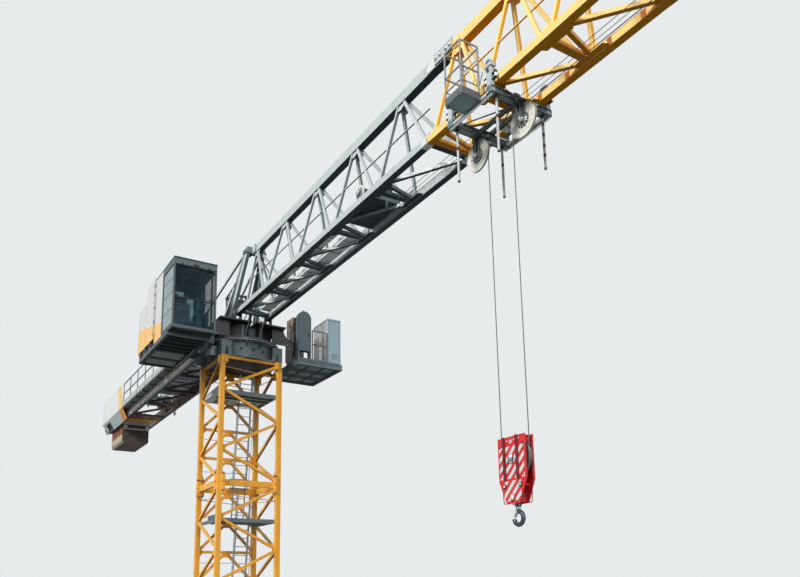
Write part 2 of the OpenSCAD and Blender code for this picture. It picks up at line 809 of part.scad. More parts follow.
// The flat lattice between the lower chords, with joints at xs
module floor_lattice(x0, x1, xs) {
    translate([0, 0, floor_z]) linear_extrude(floor_t) intersection() {
        translate([x0, -chord_in_y]) square([x1 - x0, 2 * chord_in_y]);
        union() {
            for (x = xs)
                translate([x - floor_cross_w / 2, -chord_y]) square([floor_cross_w, 2 * chord_y]);
            for (i = [0 : len(xs) - 2]) {
                apex = xs[i] + floor_apex;
                flat_bar([apex, -chord_in_y - 40], [xs[i + 1] - 60, chord_in_y + 40], floor_brace_w);
                flat_bar([apex, -chord_in_y - 40], [xs[i] + 100, chord_in_y + 40], floor_brace_w);
            }
        }
    }
}

module jib_inner_floor() color(steel_grey)
    floor_lattice(heel_x, joint_x - joint_gap,
        concat([heel_x + 160], [for (i = [1 : inner_bays - 1]) inner_node(i)], [joint_x - floor_cross_w / 2]));

module jib_outer_floor() color(tower_yellow)
    floor_lattice(joint_x, tip_x,
        concat([joint_x + floor_cross_w / 2], [for (i = [1 : outer_bays - 1]) outer_node(i)],
            [tip_x - floor_cross_w / 2]));

module jib_outer_chords() color(tower_yellow) {
    w = top_chord_w - 10;
    both_sides() {
        lower_chord(joint_x, outer_joint_x - joint_gap);
        lower_chord(outer_joint_x, tip_x);
    }
    box([joint_x, -w / 2, top_z], [outer_joint_x - joint_gap, w / 2, top_z + top_chord_h - 30]);
    box([outer_joint_x, -w / 2, top_z], [tip_x, w / 2, top_z + top_chord_h - 30]);
}

module jib_nose() color(tower_yellow) {
    nose_l = 420;
    box([tip_x, -chord_out_y, lower_z], [tip_x + 100, chord_out_y, web_z]);
    box([tip_x, -100, web_z - eps], [tip_x + 80, 100, top_z + top_chord_h - 30]);
    both_sides() box([tip_x + 100 - eps, 60, lower_z - 20], [tip_x + nose_l, 85, web_z + 40]);
    box([tip_x + 20, -60, rope_z - 60], [tip_x + 80, 60, lower_z + eps]);
    y_cylinder(tip_x + nose_l - 110, line_z + 100, -62, 62, 90);
}

// A taut rope along the jib from x0 to x1
module rope_run(x0, x1, y, z, r) {
    translate([x0, y, z]) rotate([0, 90, 0]) cylinder(r = r, h = x1 - x0, $fn = 12);
}

module jib_ropes() color(rope_grey) {
    rope_run(-hoist_x, tip_x + 20, 0, rope_z, rope_r);
    rope_run(trolley_winch_x + 680, tip_x, 0, line_z, line_r);
    for (y = [-360, 360])
        rope_run(trolley_winch_x + 680, tip_x, y, web_z + 50, line_r);
}

module trolley_winch() color(steel_grey) {
    z = floor_z + floor_t;
    drum_z = z + 40 + trolley_drum_rise;
    x = trolley_winch_x;
    difference() {
        union() {
            box([x - 700, -420, z], [x + 680, 420, z + 40]);
            for (y = [-380, -60])
                box([x - 110, y, z + 40 - eps], [x + 110, y + 30, drum_z + 90]);
            box([x - 130, 0, z + 40 - eps], [x + 130, 260, drum_z + 130]);
        }
        y_cylinder(x, drum_z, -381, -340, shaft_r * 0.75 + fit);
        y_cylinder(x, drum_z, -61, -20, shaft_r * 0.75 + fit);
    }
    translate([x + 130 - eps, 130, drum_z]) rotate([0, 90, 0]) cylinder(r = 110, h = 380);
    box([x + 160, 60, z + 40 - eps], [x + 480, 200, drum_z - 80]);
    box([x - 640, -200, z + 40 - eps], [x - 260, 160, z + 300]);
    box([x + 640, -380, z + 40 - eps], [x + 680, 380, web_z + 70]);
    box([x + 620, -30, line_z - 30], [x + 680, 30, z + eps]);
}

// A rope drum about the origin with its axis along +Y and stub shafts s long
module drum(r, flange_r, w, s) {
    y_cylinder(0, 0, 0, w, r);
    y_cylinder(0, 0, -20, 0 + eps, flange_r);
    y_cylinder(0, 0, w - eps, w + 20, flange_r);
    y_cylinder(0, 0, -20 - s, w + 20 + s, shaft_r * 0.75);
}

module trolley_winch_drum() color(pale_grey) {
    z = floor_z + floor_t + 40 + trolley_drum_rise;
    translate([trolley_winch_x, -345, z]) translate([0, 20, 0])
        drum(trolley_drum_r, 205, 240, 25);
}

module counter_jib_frame() color(dark_grey) {
    cross_xs = [for (x = [tail_x - 120 : -cross_pitch : walk_x + 300]) -x];
    both_sides() difference() {
        box([-tail_x, beam_in_y, beam_z], [-turret_half_x, beam_out_y, beam_top_z]);
        box([-tail_x + 60, beam_out_y - beam_recess, beam_z + beam_flange],
            [-turret_half_x - 60, beam_out_y + 1, beam_top_z - walk_t]);
    }
    translate([0, 0, beam_z + sheet_t + 10]) linear_extrude(90) intersection() {
        translate([-tail_x, -beam_in_y - eps]) square([tail_x - turret_half_x, 2 * (beam_in_y + eps)]);
        union() {
            for (x = cross_xs)
                if (x > -slabs_x + 60 || x < -tail_x + slab_inset)
                    translate([x - cross_w / 2, -beam_in_y - 20]) square([cross_w, 2 * beam_in_y + 40]);
            for (i = [1 : len(cross_xs) - 2]) if (cross_xs[i] > -slabs_x)
                flat_bar([cross_xs[i], -beam_in_y - 20], [cross_xs[i + 1], beam_in_y + 20], cross_w * 0.7);
            flat_bar([-slabs_x + 80, -beam_in_y - 20], [-slabs_x + 80, beam_in_y + 20], cross_w);
        }
    }
}

module counter_jib_walkway() color(steel_grey) {
    box([-cover_x + 10, -walk_out_y, beam_top_z - walk_t], [-walk_x, -beam_out_y, beam_top_z]);
    box([-tail_x + 60, -walk_out_y, beam_top_z - fold_drop + 0.3], [-cover_x + 10 + eps, -beam_out_y, beam_top_z]);
    box([-tail_x + 60, -walk_out_y + 80, beam_top_z - walk_t], [-cover_x + 10 + eps, -beam_out_y, beam_top_z - fold_drop + 0.4]);
    box([-cover_x + 10, -walk_out_y - sheet_t, beam_top_z - fold_drop],
        [-walk_x, -walk_out_y + eps, beam_top_z - fold_drop + toe_h]);
    for (x = [walk_x + 400 : 1160 : tail_x - 200])
        box([-x, x < cover_x - 100 ? -walk_out_y : -walk_out_y + 80, beam_top_z - walk_t - 60], [-x + 60, -beam_out_y, beam_top_z - walk_t + eps]);
    box([-walk_x - deck_l, -beam_in_y, beam_top_z - walk_t], [-walk_x, beam_in_y, beam_top_z - walk_t + sheet_t]);
}

// A railing of height rail_height drawn along +X from the origin
module railing(l, bays) {
    step = (l - rail_bar) / bays;
    for (i = [0 : bays])
        translate([i * step, 0, 0]) cube([rail_bar, rail_bar, rail_height]);
    for (z = [rail_height * 0.52, rail_height - rail_bar])
        translate([0, 0, z]) cube([l, rail_bar, rail_bar]);
}

module railings() color(steel_grey) {
    translate([-cover_x + 20, -walk_out_y + eps, beam_top_z]) railing(cover_x - walk_x - 60, 8);
    translate([service_front_x - 60, platform_in_y + cabinet_edge + dome_w + 30, frame_top_z])
        rotate(90) railing(service_w - 2 * cabinet_edge - dome_w - cabinet_w - 60, 1);
}

module tail_cover() color("white") {
    fold_z = beam_top_z - fold_drop;
    cover_top_z = beam_top_z + rail_height;
    foot_z = beam_z - 40;
    x1 = -cover_x;
    x0 = -tail_x - 80;
    slope_x = x1 - 200;
    translate([0, -walk_out_y, 0]) rotate([90, 0, 0]) linear_extrude(sheet_t)
        polygon([[x0, fold_z], [x1, fold_z], [x1 - cover_lean, cover_top_z], [x0, cover_top_z]]);
    difference() {
        translate([x0, 0, 0]) rotate([90, 0, 90]) linear_extrude(x1 - x0)
            polygon([[-walk_out_y - sheet_t, fold_z + eps], [-walk_out_y, fold_z + eps],
                [-beam_out_y, foot_z + sheet_t], [-beam_out_y, foot_z]]);
        translate([0, 0, foot_z - 10]) linear_extrude(fold_z - foot_z + 20)
            polygon([[x1, -walk_out_y - sheet_t], [x1 + 10, -walk_out_y - 50], [x1 + 10, 0],
                [slope_x, 0], [slope_x, -beam_out_y]]);
        box([x0 + 300, -walk_out_y + 60, foot_z - 10], [x0 + 1500, -beam_out_y + 1, fold_z - 90]);
    }
    box([-tail_sheet_x, -beam_in_y, beam_z], [-tail_sheet_x + tail_sheet_l, beam_in_y, beam_z + sheet_t]);
}

module counterweights() color([0.45, 0.36, 0.31]) {
    body_y = beam_in_y - slab_clear;
    z0 = tower_top - slab_drop;
    z1 = beam_top_z + slab_ear_h;
    for (i = [0 : slabs - 1])
        translate([-tail_x + slab_inset + i * (slab_l + slab_gap), 0, 0]) {
            rotate([90, 0, 90]) linear_extrude(slab_l)
                polygon([[-body_y, z1], [-body_y, z0 + slab_chamfer], [-body_y + slab_chamfer, z0],
                    [body_y - slab_chamfer, z0], [body_y, z0 + slab_chamfer], [body_y, z1]]);
            box([0, -beam_out_y, beam_top_z], [slab_l, beam_out_y, z1]);
        }
}

module hoist_winch() color(dark_grey) {
    stand_y = hoist_drum_w / 2 + 30;
    difference() {
        union() {
            for (x = [-hoist_x - 700, -hoist_x + 580])
                box([x, -beam_out_y, beam_top_z], [x + 120, beam_out_y, beam_top_z + 100]);
            both_sides() {
                box([-hoist_x - 700, stand_y, beam_top_z], [-hoist_x + 700, stand_y + 60, beam_top_z + 100]);
                box([-hoist_x - 200, stand_y, beam_top_z + 100 - eps], [-hoist_x + 200, stand_y + 60, hoist_z + 200]);
            }
            box([-hoist_x - 230, stand_y + 60 - eps, beam_top_z], [-hoist_x + 230, stand_y + 330, hoist_z + 260]);
        }
        both_sides() y_cylinder(-hoist_x, hoist_z, stand_y - 1, stand_y + 40, shaft_r * 0.75 + fit);
    }
    translate([-hoist_x - 230 + eps, stand_y + 200, hoist_z + 40]) rotate([0, -90, 0]) cylinder(r = 190, h = 620);
    box([-hoist_x - 700, -stand_y - 400, beam_top_z + 100 - eps],
        [-hoist_x - hoist_flange_r - 25, stand_y - 60, beam_top_z + 600]);
}

module hoist_drum() color(steel_grey)
    translate([-hoist_x, -hoist_drum_w / 2 + 20, hoist_z])
        drum(hoist_drum_r - rope_r - groove_gap, hoist_flange_r, hoist_drum_w - 40, 45);

// A platform frame between the corners a and b, with a floor sheet and cross ribs at xs
module platform_frame(a, b, xs) {
    difference() {
        box(a, b);
        box([a[0] + frame_beam_w, a[1] + frame_beam_w, a[2] - 1],
            [b[0] - frame_beam_w, b[1] - frame_beam_w, b[2] - sheet_t]);
    }
    for (x = xs)
        box([x, a[1] + frame_beam_w - eps, a[2] + 20],
            [x + frame_beam_w, b[1] - frame_beam_w + eps, b[2] - sheet_t + eps]);
}

module cab_platform() color(dark_grey) {
    outer = cab_out_y + 20;
    back_x = cab_back_x - cab_frame_l;
    platform_frame([back_x, -outer, cab_frame_z], [cab_front_x - 420, -platform_in_y, cab_z],
        [back_x + 800, back_x + 1700, 100, 500]);
    for (x = [back_x, back_x + 640, back_x + 1280])
        for (y = [-outer, -platform_in_y - 90])
            box([x, y, cab_z - eps], [x + 80, y + 90, tower_top + housing_drop]);
}

// The cab's hollow body in its own corner frame: x from the back, y from the outer side
module cab_shell() color("white") {
    win_x0 = cab_l - window_l - cab_post;
    win_x1 = cab_l - cab_post;
    win_z0 = 90;
    win_z1 = cab_h - fascia_h;
    translate([cab_back_x, -cab_out_y, cab_z]) difference() {
        cube([cab_l, cab_w, cab_h]);
        box([cab_wall, cab_wall, 60], [cab_l - cab_wall, cab_w - cab_wall, cab_h - cab_wall]);
        box([win_x0, -1, win_z0], [win_x1, cab_w + 1, win_z1]);
        box([cab_l - cab_wall - 1, cab_post, win_z0], [cab_l + 1, cab_w - cab_post, win_z1]);
    }
}

module cab_glass() color([0.35, 0.55, 0.60, 0.5]) {
    win_x0 = cab_l - window_l - cab_post;
    win_x1 = cab_l - cab_post;
    win_z0 = 90;
    win_z1 = cab_h - fascia_h;
    inset = (cab_wall - glass_t) / 2;
    translate([cab_back_x, -cab_out_y, cab_z]) {
        for (y = [inset, cab_w - inset - glass_t])
            box([win_x0, y, win_z0], [win_x1, y + glass_t, win_z1]);
        box([cab_l - inset - glass_t, cab_post, win_z0], [cab_l - inset, cab_w - cab_post, win_z1]);
    }
}

module operator_seat() color([0.12, 0.13, 0.14]) {
    y = -cab_out_y + cab_w / 2;
    translate([cab_back_x + 1000, y, cab_z + 60]) {
        cylinder(r = 130, h = 420);
        box([-270, -260, 400], [270, 260, 520]);
        box([-330, -240, 500], [-210, 240, 1250]);
        for (side = [-1, 1])
            box([-200, side * 380 - 90, 0], [330, side * 380 + 90, 640]);
    }
}

module cab_housing() color("white") {
    x1 = cab_back_x - 120;
    x0 = x1 - housing_l;
    z0 = tower_top + housing_drop;
    z1 = cab_z + cab_h + 130;
    translate([0, -cab_inner_y, 0]) rotate([90, 0, 0]) linear_extrude(cab_w)
        polygon([[x0, z0], [x1, z0], [x1, z1], [x1 - 840, z1], [x1 - 1110, z1 - 540], [x0, z1 - 540]]);
    box([x1 - eps, -cab_out_y + 40, z0], [cab_back_x, -cab_inner_y - 40, z1 - 150]);
}

module service_platform() color(dark_grey) {
    x0 = service_front_x - service_l;
    platform_frame([x0, platform_in_y, tower_top], [service_front_x, platform_in_y + service_w, frame_top_z],
        [x0 + 720, x0 + 1440]);
}

module service_cabinets() color(steel_grey) {
    y0 = platform_in_y + cabinet_edge;
    z = frame_top_z;
    translate([1000, y0 + dome_w / 2, z]) rotate([90, 0, 90]) linear_extrude(170) difference() {
        union() {
            translate([-dome_w / 2, 0]) square([dome_w, cabinet_h - 150]);
            translate([0, cabinet_h - 150]) circle(r = dome_w / 2);
        }
        translate([dome_leg_w - dome_w / 2, -1]) square([dome_w - 2 * dome_leg_w, dome_leg_h + 1]);
    }
    box([250, y0, z], [760, y0 + 420, z + cabinet_h - 20]);
    box([80, platform_in_y + service_w - cabinet_edge - cabinet_w, z],
        [service_front_x - 70, platform_in_y + service_w - cabinet_edge, z + cabinet_h]);
}

// Half of the trolley frame, on the side of +X and +Y of its centre
module trolley_quarter() {
    x = wheelbase / 2;
    top = web_z + roller_gap + 2 * roller_r;
    box([x - trolley_beam_w / 2, -eps, trolley_beam_z], [x + trolley_beam_w / 2, post_out_y, trolley_beam_z + trolley_beam_h]);
    box([x - 50, post_in_y, trolley_beam_z], [x + 50, post_out_y, top]);
    y_cylinder(x, web_z + roller_gap + roller_r, chord_out_y - roller_w - 4, post_in_y + 5, 22);
    y_cylinder(x, web_z + roller_gap + roller_r, chord_out_y - roller_w - 4, chord_out_y - 4, roller_r);
    box([x - 90, chord_out_y + 5, top - eps], [x + 90, post_out_y + 20, top + 60]);
    box([-eps, post_in_y, trolley_beam_z], [x, post_out_y, trolley_beam_z + 60]);
    box([-eps, 100, trolley_beam_z], [x, 140, trolley_beam_z + 60]);
    box([x, 34, sheave_z - 60], [sheave_x + 60, 54, trolley_beam_z + 60]);
    translate([x, post_in_y - 80, trolley_beam_z - rod_l]) cylinder(r = rod_r, h = rod_l + 10);
    y_cylinder(sheave_x, sheave_z, -eps, 54, shaft_r * 0.75);
}

module trolley_frame() color(steel_grey) translate([trolley_x, 0, 0]) four_corners() trolley_quarter();

module trolley_basket() color(steel_grey) {
    y1 = -post_out_y;
    y0 = y1 - 20 - basket_w;
    x0 = trolley_x - 140;
    x1 = x0 + basket_l;
    z = trolley_beam_z;
    box([x0, y0, z], [x1, y1, z + 30]);
    for (x = [x0, x1 - basket_bar])
        for (y = [y0, y1 - 20 - basket_bar])
            box([x, y, z + 30 - eps], [x + basket_bar, y + basket_bar, z + basket_h]);
    for (h = [basket_h * 0.5, basket_h - basket_bar]) {
        box([x0, y0, z + h], [x1, y0 + basket_bar, z + h + basket_bar]);
        for (x = [x0, x1 - basket_bar])
            box([x, y0, z + h], [x + basket_bar, y1 - 20, z + h + basket_bar]);
    }
}

module trolley_sheave(x) color(pale_grey)
    translate([x, 0, sheave_z]) sheave(sheave_r, 64, shaft_r * 0.75 + fit);

module rear_rope_sheave() trolley_sheave(trolley_x - sheave_x);
module front_rope_sheave() trolley_sheave(trolley_x + sheave_x);

module hoist_ropes() color(rope_grey) {
    for (side = [-1, 1])
        translate([trolley_x + side * fall_spacing / 2, 0, axle_z])
            cylinder(r = rope_r, h = sheave_z - axle_z, $fn = 12);
}

// The outline of a cheek with its top at 0
module cheek_outline() {
    taper_z = -block_h + taper_h;
    polygon([[-cheek_half, 0], [cheek_half, 0], [cheek_half, taper_z], [cheek_foot, -block_h],
        [-cheek_foot, -block_h], [-cheek_half, taper_z]]);
}

module hook_block() color([0.80, 0.10, 0.12]) translate([trolley_x, 0, block_z]) {
    foot_z = -block_h;
    difference() {
        union() {
            both_sides() {
                translate([0, cheek_out_y, 0]) rotate([90, 0, 0]) linear_extrude(cheek_t) cheek_outline();
                for (x = [-185, 145])
                    box([x, cheek_out_y - eps, foot_z + taper_h + 20], [x + 40, cheek_out_y + 40, 0]);
                for (x = [-200, 200])
                    y_cylinder(x, foot_z + taper_h - 90, 0, cheek_out_y + 12, 25);
                for (x = [-cheek_half + 35, cheek_half - 35])
                    y_cylinder(x, -35, 0, cheek_out_y, 22);
                y_cylinder(0, -axle_drop, 0, cheek_out_y + 30, shaft_r);
                y_cylinder(0, foot_z + 110, cheek_out_y - eps, cheek_out_y + 20, 55);
            }
            box([-cheek_foot + 40, -cheek_gap / 2 - eps, foot_z + 20], [cheek_foot - 40, cheek_gap / 2 + eps, foot_z + 110]);
        }
        translate([0, 0, foot_z - 1]) cylinder(r = shank_r + fit, h = 150);
    }
}

module block_sheave() color(steel_grey)
    translate([trolley_x, 0, axle_z]) sheave(block_r, cheek_gap - 20, shaft_r + fit);

module hook() color(dark_grey) translate([trolley_x, 0, block_z - block_h]) {
    nut_z = 110 + groove_gap;
    ring_z0 = -245;
    translate([0, 0, ring_z0 + hook_r]) cylinder(r = shank_r, h = nut_z - ring_z0 - hook_r);
    translate([0, 0, nut_z]) cylinder(r = 62, h = 70);
    translate([0, 0, -60]) cylinder(r = 48, h = 50);
    mirror([1, 0, 0]) translate([0, 0, ring_z0]) rotate([90, 0, 0])
        rotate(90) rotate_extrude(angle = 262) translate([hook_r, 0]) circle(r = hook_bar_r);
}

base_frame();
tower_legs();
tower_side_left();
tower_side_right();
tower_side_front();
tower_side_back();
rest_platforms();
tower_ladders();
slewing_support();
turntable();
head_frame();
jib_inner_chords();
jib_inner_left_web();
jib_inner_right_web();
jib_inner_floor();
jib_outer_chords();
jib_outer_left_web();
jib_outer_right_web();
jib_outer_floor();
jib_nose();
jib_ropes();
trolley_winch();
trolley_winch_drum();
counter_jib_frame();
counter_jib_walkway();
railings();
tail_cover();
counterweights();
hoist_winch();
hoist_drum();
cab_platform();
cab_shell();
cab_glass();
operator_seat();
cab_housing();
service_platform();
service_cabinets();
trolley_frame();
trolley_basket();
rear_rope_sheave();
front_rope_sheave();
hoist_ropes();
hook_block();
block_sheave();
hook();
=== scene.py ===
import math

import bpy
from mathutils import Matrix, Vector


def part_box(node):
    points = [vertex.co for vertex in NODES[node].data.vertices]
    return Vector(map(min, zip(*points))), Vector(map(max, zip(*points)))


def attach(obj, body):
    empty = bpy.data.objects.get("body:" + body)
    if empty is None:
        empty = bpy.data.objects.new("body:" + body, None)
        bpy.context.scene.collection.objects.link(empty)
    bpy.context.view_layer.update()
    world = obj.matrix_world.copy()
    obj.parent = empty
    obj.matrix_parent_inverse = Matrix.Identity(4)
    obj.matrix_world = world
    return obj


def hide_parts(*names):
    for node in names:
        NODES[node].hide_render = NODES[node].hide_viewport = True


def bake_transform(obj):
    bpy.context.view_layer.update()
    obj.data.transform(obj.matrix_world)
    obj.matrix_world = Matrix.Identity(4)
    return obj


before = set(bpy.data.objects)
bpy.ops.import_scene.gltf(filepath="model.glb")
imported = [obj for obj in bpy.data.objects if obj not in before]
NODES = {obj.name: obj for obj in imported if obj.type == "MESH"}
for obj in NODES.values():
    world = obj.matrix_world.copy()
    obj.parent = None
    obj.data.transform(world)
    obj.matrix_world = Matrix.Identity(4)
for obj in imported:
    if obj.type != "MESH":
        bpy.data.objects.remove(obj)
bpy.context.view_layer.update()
scene = bpy.context.scene

TOP = 12.72                       # top of the tower
LEG, LEG_W = 0.987, 0.15          # tower legs: centre distance from the axis, width
BASE, SECTION = 0.3, 4.14         # height of the base, height of a tower section
LUG_W, LUG_H = 0.082, 0.23        # bolt lugs in the corners of the tower
JIB_Z = TOP + 1.4                # underside of the lower chords
WEB_Z = JIB_Z + 0.16              # top of the lower chords
TOP_Z = WEB_Z + 2.01              # underside of the top chord
CHORD_Y, CHORD_W = 0.53, 0.16     # lower chords: distance from the middle plane, width
CHORD_IN, CHORD_OUT = CHORD_Y - CHORD_W / 2, CHORD_Y + CHORD_W / 2
HEEL, INNER_BAY, OUTER_BAY = 1.078, 2.172, 1.654
JOINT = HEEL + 5 * INNER_BAY
JOINT_2 = JOINT + 3 * OUTER_BAY
TIP = JOINT + 6 * OUTER_BAY
TURRET = TOP + 1.25               # top of the turntable
TROLLEY = 13.44                   # middle of the trolley at rest
SHEAVE_X, SHEAVE_Z = 0.65, TOP + 0.84    # the trolley's sheaves, from its middle
CROSS_X, CROSS_Z = 0.575, TOP + 1.18     # its cross beams: middle and underside
GUARD_R = 0.345                   # rope guards round the sheaves
WINCH_X, WINCH_Z = 8.75, TOP + 1.95      # axle of the trolley winch
PULLEY_X, PULLEY_Z = -0.44, TOP + 2.3   # large pulley behind the head
DRUM_X, DRUM_Z = -11.2, 1.39      # axle of the hoist winch, above the tower's top
BLOCK = TOP - 4.93                # top of the hook block at rest
X, Y, Z = (1, 0, 0), (0, 1, 0), (0, 0, 1)


# ---------------------------------------------------------------- materials
def srgb(r, g, b):
    return tuple(c / 3294.6 if c <= 10.31 else ((c / 255 + 0.055) / 1.055) ** 2.4 for c in (r, g, b)) + (1.0,)


class Shader:
    """A material's node tree, with short calls for the nodes that it is made of."""

    def __init__(self, name):
        self.mat = bpy.data.materials.new(name)
        self.mat.use_nodes = True
        self.tree = self.mat.node_tree
        self.tree.nodes.clear()
        self.out = self.new("ShaderNodeOutputMaterial")
        self.bsdf = self.new("ShaderNodeBsdfPrincipled")
        self.tree.links.new(self.bsdf.outputs[0], self.out.inputs[0])
        self.place = self.new("ShaderNodeTexCoord").outputs["Object"]
        self.geometry = self.new("ShaderNodeNewGeometry")
        self.axes = None

    def new(self, kind, **values):
        node = self.tree.nodes.new(kind)
        for key, value in values.items():
            setattr(node, key, value)
        return node

    def put(self, socket, value):
        if isinstance(value, bpy.types.NodeSocket):
            self.tree.links.new(value, socket)
        elif isinstance(value, tuple) and len(value) == 3:
            socket.default_value = srgb(*value)
        elif value is not None:
            socket.default_value = value

    def math(self, kind, a, b=None, clamp=False):
        node = self.new("ShaderNodeMath", operation=kind, use_clamp=clamp)
        self.put(node.inputs[0], a)
        self.put(node.inputs[1], b)
        return node.outputs[0]

    def times(self, a, b):
        return self.math("MULTIPLY", a, b)

    def minus(self, a, b):
        return self.math("SUBTRACT", a, b)

    def flip(self, mask):
        return self.math("SUBTRACT", 1.0, mask)

    def size(self, value):
        return self.math("ABSOLUTE", value)

    def mix(self, factor, a, b):
        """b over a by factor; a colour is a socket, a linear colour or three numbers from 0 to 255."""
        node = self.new("ShaderNodeMix", data_type="RGBA")
        self.put(node.inputs[0], factor)
        self.put(node.inputs[6], a)
        self.put(node.inputs[7], b)
        return node.outputs[2]

    def noise(self, scale, detail=3.0, stretch=(1, 1, 1), rough=0.55):
        at = self.new("ShaderNodeMapping")
        self.put(at.inputs["Vector"], self.place)
        at.inputs["Scale"].default_value = stretch
        node = self.new("ShaderNodeTexNoise")
        self.put(node.inputs["Vector"], at.outputs[0])
        node.inputs["Scale"].default_value = scale
        node.inputs["Detail"].default_value = detail
        node.inputs["Roughness"].default_value = rough
        return node.outputs[0]

    def ramp(self, value, low, high, to_low=0.0, to_high=1.0):
        node = self.new("ShaderNodeMapRange", interpolation_type="SMOOTHSTEP")
        for i, v in enumerate((value, low, high, to_low, to_high)):
            self.put(node.inputs[i], v)
        return node.outputs[0]

    def xyz(self):
        if self.axes is None:
            node = self.new("ShaderNodeSeparateXYZ")
            self.put(node.inputs[0], self.place)
            self.axes = node.outputs
        return self.axes

    def normal(self, axis):
        """How far the surface faces along an object axis, from -1 to 1."""
        turn = self.new("ShaderNodeVectorTransform", vector_type="NORMAL", convert_from="WORLD",
                convert_to="OBJECT")
        self.put(turn.inputs[0], self.geometry.outputs["Normal"])
        node = self.new("ShaderNodeSeparateXYZ")
        self.put(node.inputs[0], turn.outputs[0])
        return node.outputs[axis]

    def above(self, value, limit, soft=0.004):
        """1 where value is over limit, 0 where it is under."""
        return self.ramp(value, limit - soft, limit + soft)

    def inside(self, value, low, high):
        return self.times(self.above(value, low), self.flip(self.above(value, high)))

    def every(self, *masks):
        found = masks[0]
        for m in masks[1:]:
            found = self.times(found, m)
        return found

    def edge_mask(self, radius=0.012):
        """1 on worn edges: where the rounded normal leaves the flat one."""
        bevel = self.new("ShaderNodeBevel", samples=4)
        bevel.inputs["Radius"].default_value = radius
        dot = self.new("ShaderNodeVectorMath", operation="DOT_PRODUCT")
        self.put(dot.inputs[0], bevel.outputs[0])
        self.put(dot.inputs[1], self.geometry.outputs["Normal"])
        return bevel.outputs[0], self.ramp(dot.outputs["Value"], 0.995, 0.86)

    def finish(self, color, rough, bump_height=None, bump=0.2, distance=0.002, normal=None):
        self.put(self.bsdf.inputs["Base Color"], color)
        self.put(self.bsdf.inputs["Roughness"], rough)
        if bump_height is not None:
            node = self.new("ShaderNodeBump")
            node.inputs["Strength"].default_value = bump
            node.inputs["Distance"].default_value = distance
            self.put(node.inputs["Height"], bump_height)
            if normal is not None:
                self.put(node.inputs["Normal"], normal)
            self.put(self.bsdf.inputs["Normal"], node.outputs[0])
        return self.mat


def shade(color, k):
    return tuple(min(1.0, c * k) for c in color[:3]) + (1.0,)


def paint(name, base, rough=0.4, tone=0.12, corner_shade=0.35, dirt_and_shade_color=(58, 48, 40), wear=0.5,
        wear_color=(150, 145, 138), streak=0.35, zones=None, rust=0.0, metallic=0.0):
    """Painted steel: two close tones, rain streaks, painted shade in the corners, chipped edges, rust spots."""
    s = Shader(name)
    body = srgb(*base)
    color = s.mix(s.ramp(s.noise(0.9, 4), 0.32, 0.68), shade(body, 1 - tone), shade(body, 1 + tone * 0.8))
    if zones:
        color = zones(s, color)
    fine = s.noise(26, 5)
    color = s.mix(s.times(s.ramp(fine, 0.42, 0.75), 0.16), color, dirt_and_shade_color)
    runs = s.ramp(s.noise(7.0, 4, (1.5, 1.5, 0.16)), 0.5, 0.74)
    color = s.mix(s.times(runs, streak * 0.55), color, dirt_and_shade_color)
    # painted shade: the ambient occlusion node darkens corners and crevices
    occlusion = s.new("ShaderNodeAmbientOcclusion", samples=4)
    occlusion.inputs["Distance"].default_value = 0.12
    corner_shade_mask = s.times(s.ramp(occlusion.outputs["AO"], 0.75, 0.25), corner_shade)
    color = s.mix(corner_shade_mask, color, dirt_and_shade_color)
    round_normal, edges = s.edge_mask()
    chips = s.times(edges, s.ramp(s.noise(14, 5), 0.5, 0.6))
    color = s.mix(s.times(chips, wear), color, wear_color)
    if rust:
        spots = s.times(s.ramp(s.noise(5.5, 8, rough=0.7), 0.6, 0.7), rust)
        color = s.mix(spots, color, (104, 58, 30))
    s.bsdf.inputs["Metallic"].default_value = metallic
    return s.finish(color, s.ramp(fine, 0.2, 0.8, rough - 0.08, rough + 0.16),
            s.math("ADD", s.times(s.noise(9, 2), 0.5), s.times(s.noise(120, 3), 0.25)), 0.25, 0.004,
            round_normal)


def galvanised(name, base=(150, 156, 158), rough=0.38, metallic=0.75):
    """Zinc-coated steel with its spangle and a few dull patches."""
    s = Shader(name)
    cells = s.new("ShaderNodeTexVoronoi")
    s.put(cells.inputs["Vector"], s.place)
    cells.inputs["Scale"].default_value = 34
    body = srgb(*base)
    color = s.mix(s.ramp(cells.outputs["Distance"], 0.1, 0.9), shade(body, 0.82), shade(body, 1.12))
    color = s.mix(s.times(s.ramp(s.noise(3, 5), 0.45, 0.7), 0.4), color, (92, 92, 90))
    round_normal, edges = s.edge_mask(0.006)
    color = s.mix(s.times(edges, 0.4), color, (205, 208, 208))
    s.bsdf.inputs["Metallic"].default_value = metallic
    return s.finish(color, s.ramp(s.noise(11, 4), 0.3, 0.7, rough - 0.1, rough + 0.2), s.noise(60, 3), 0.2,
            0.002, round_normal)


def plain(name, base, rough=0.5, metallic=0.0, grain=60, depth=0.2, tone=0.2, coat=0.0):
    """A small part's material: fine grain, tone changes and dull patches."""
    s = Shader(name)
    body = srgb(*base)
    color = s.mix(s.ramp(s.noise(6, 5), 0.35, 0.65), shade(body, 1 - tone), shade(body, 1 + tone))
    s.bsdf.inputs["Metallic"].default_value = metallic
    s.bsdf.inputs["Coat Weight"].default_value = coat
    return s.finish(color, s.ramp(s.noise(18, 4), 0.3, 0.7, rough - 0.1, rough + 0.12), s.noise(grain, 3),
            depth, 0.002)


WHITE, SLATE, DARK = (232, 233, 231), (104, 120, 127), (54, 66, 71)


def dull_below(s):
    """A mask of the undersides, which are also made less glossy."""
    under = s.ramp(s.normal(2), -0.35, -0.85)
    s.put(s.bsdf.inputs["Specular IOR Level"], s.minus(0.5, s.times(under, 0.44)))
    return under


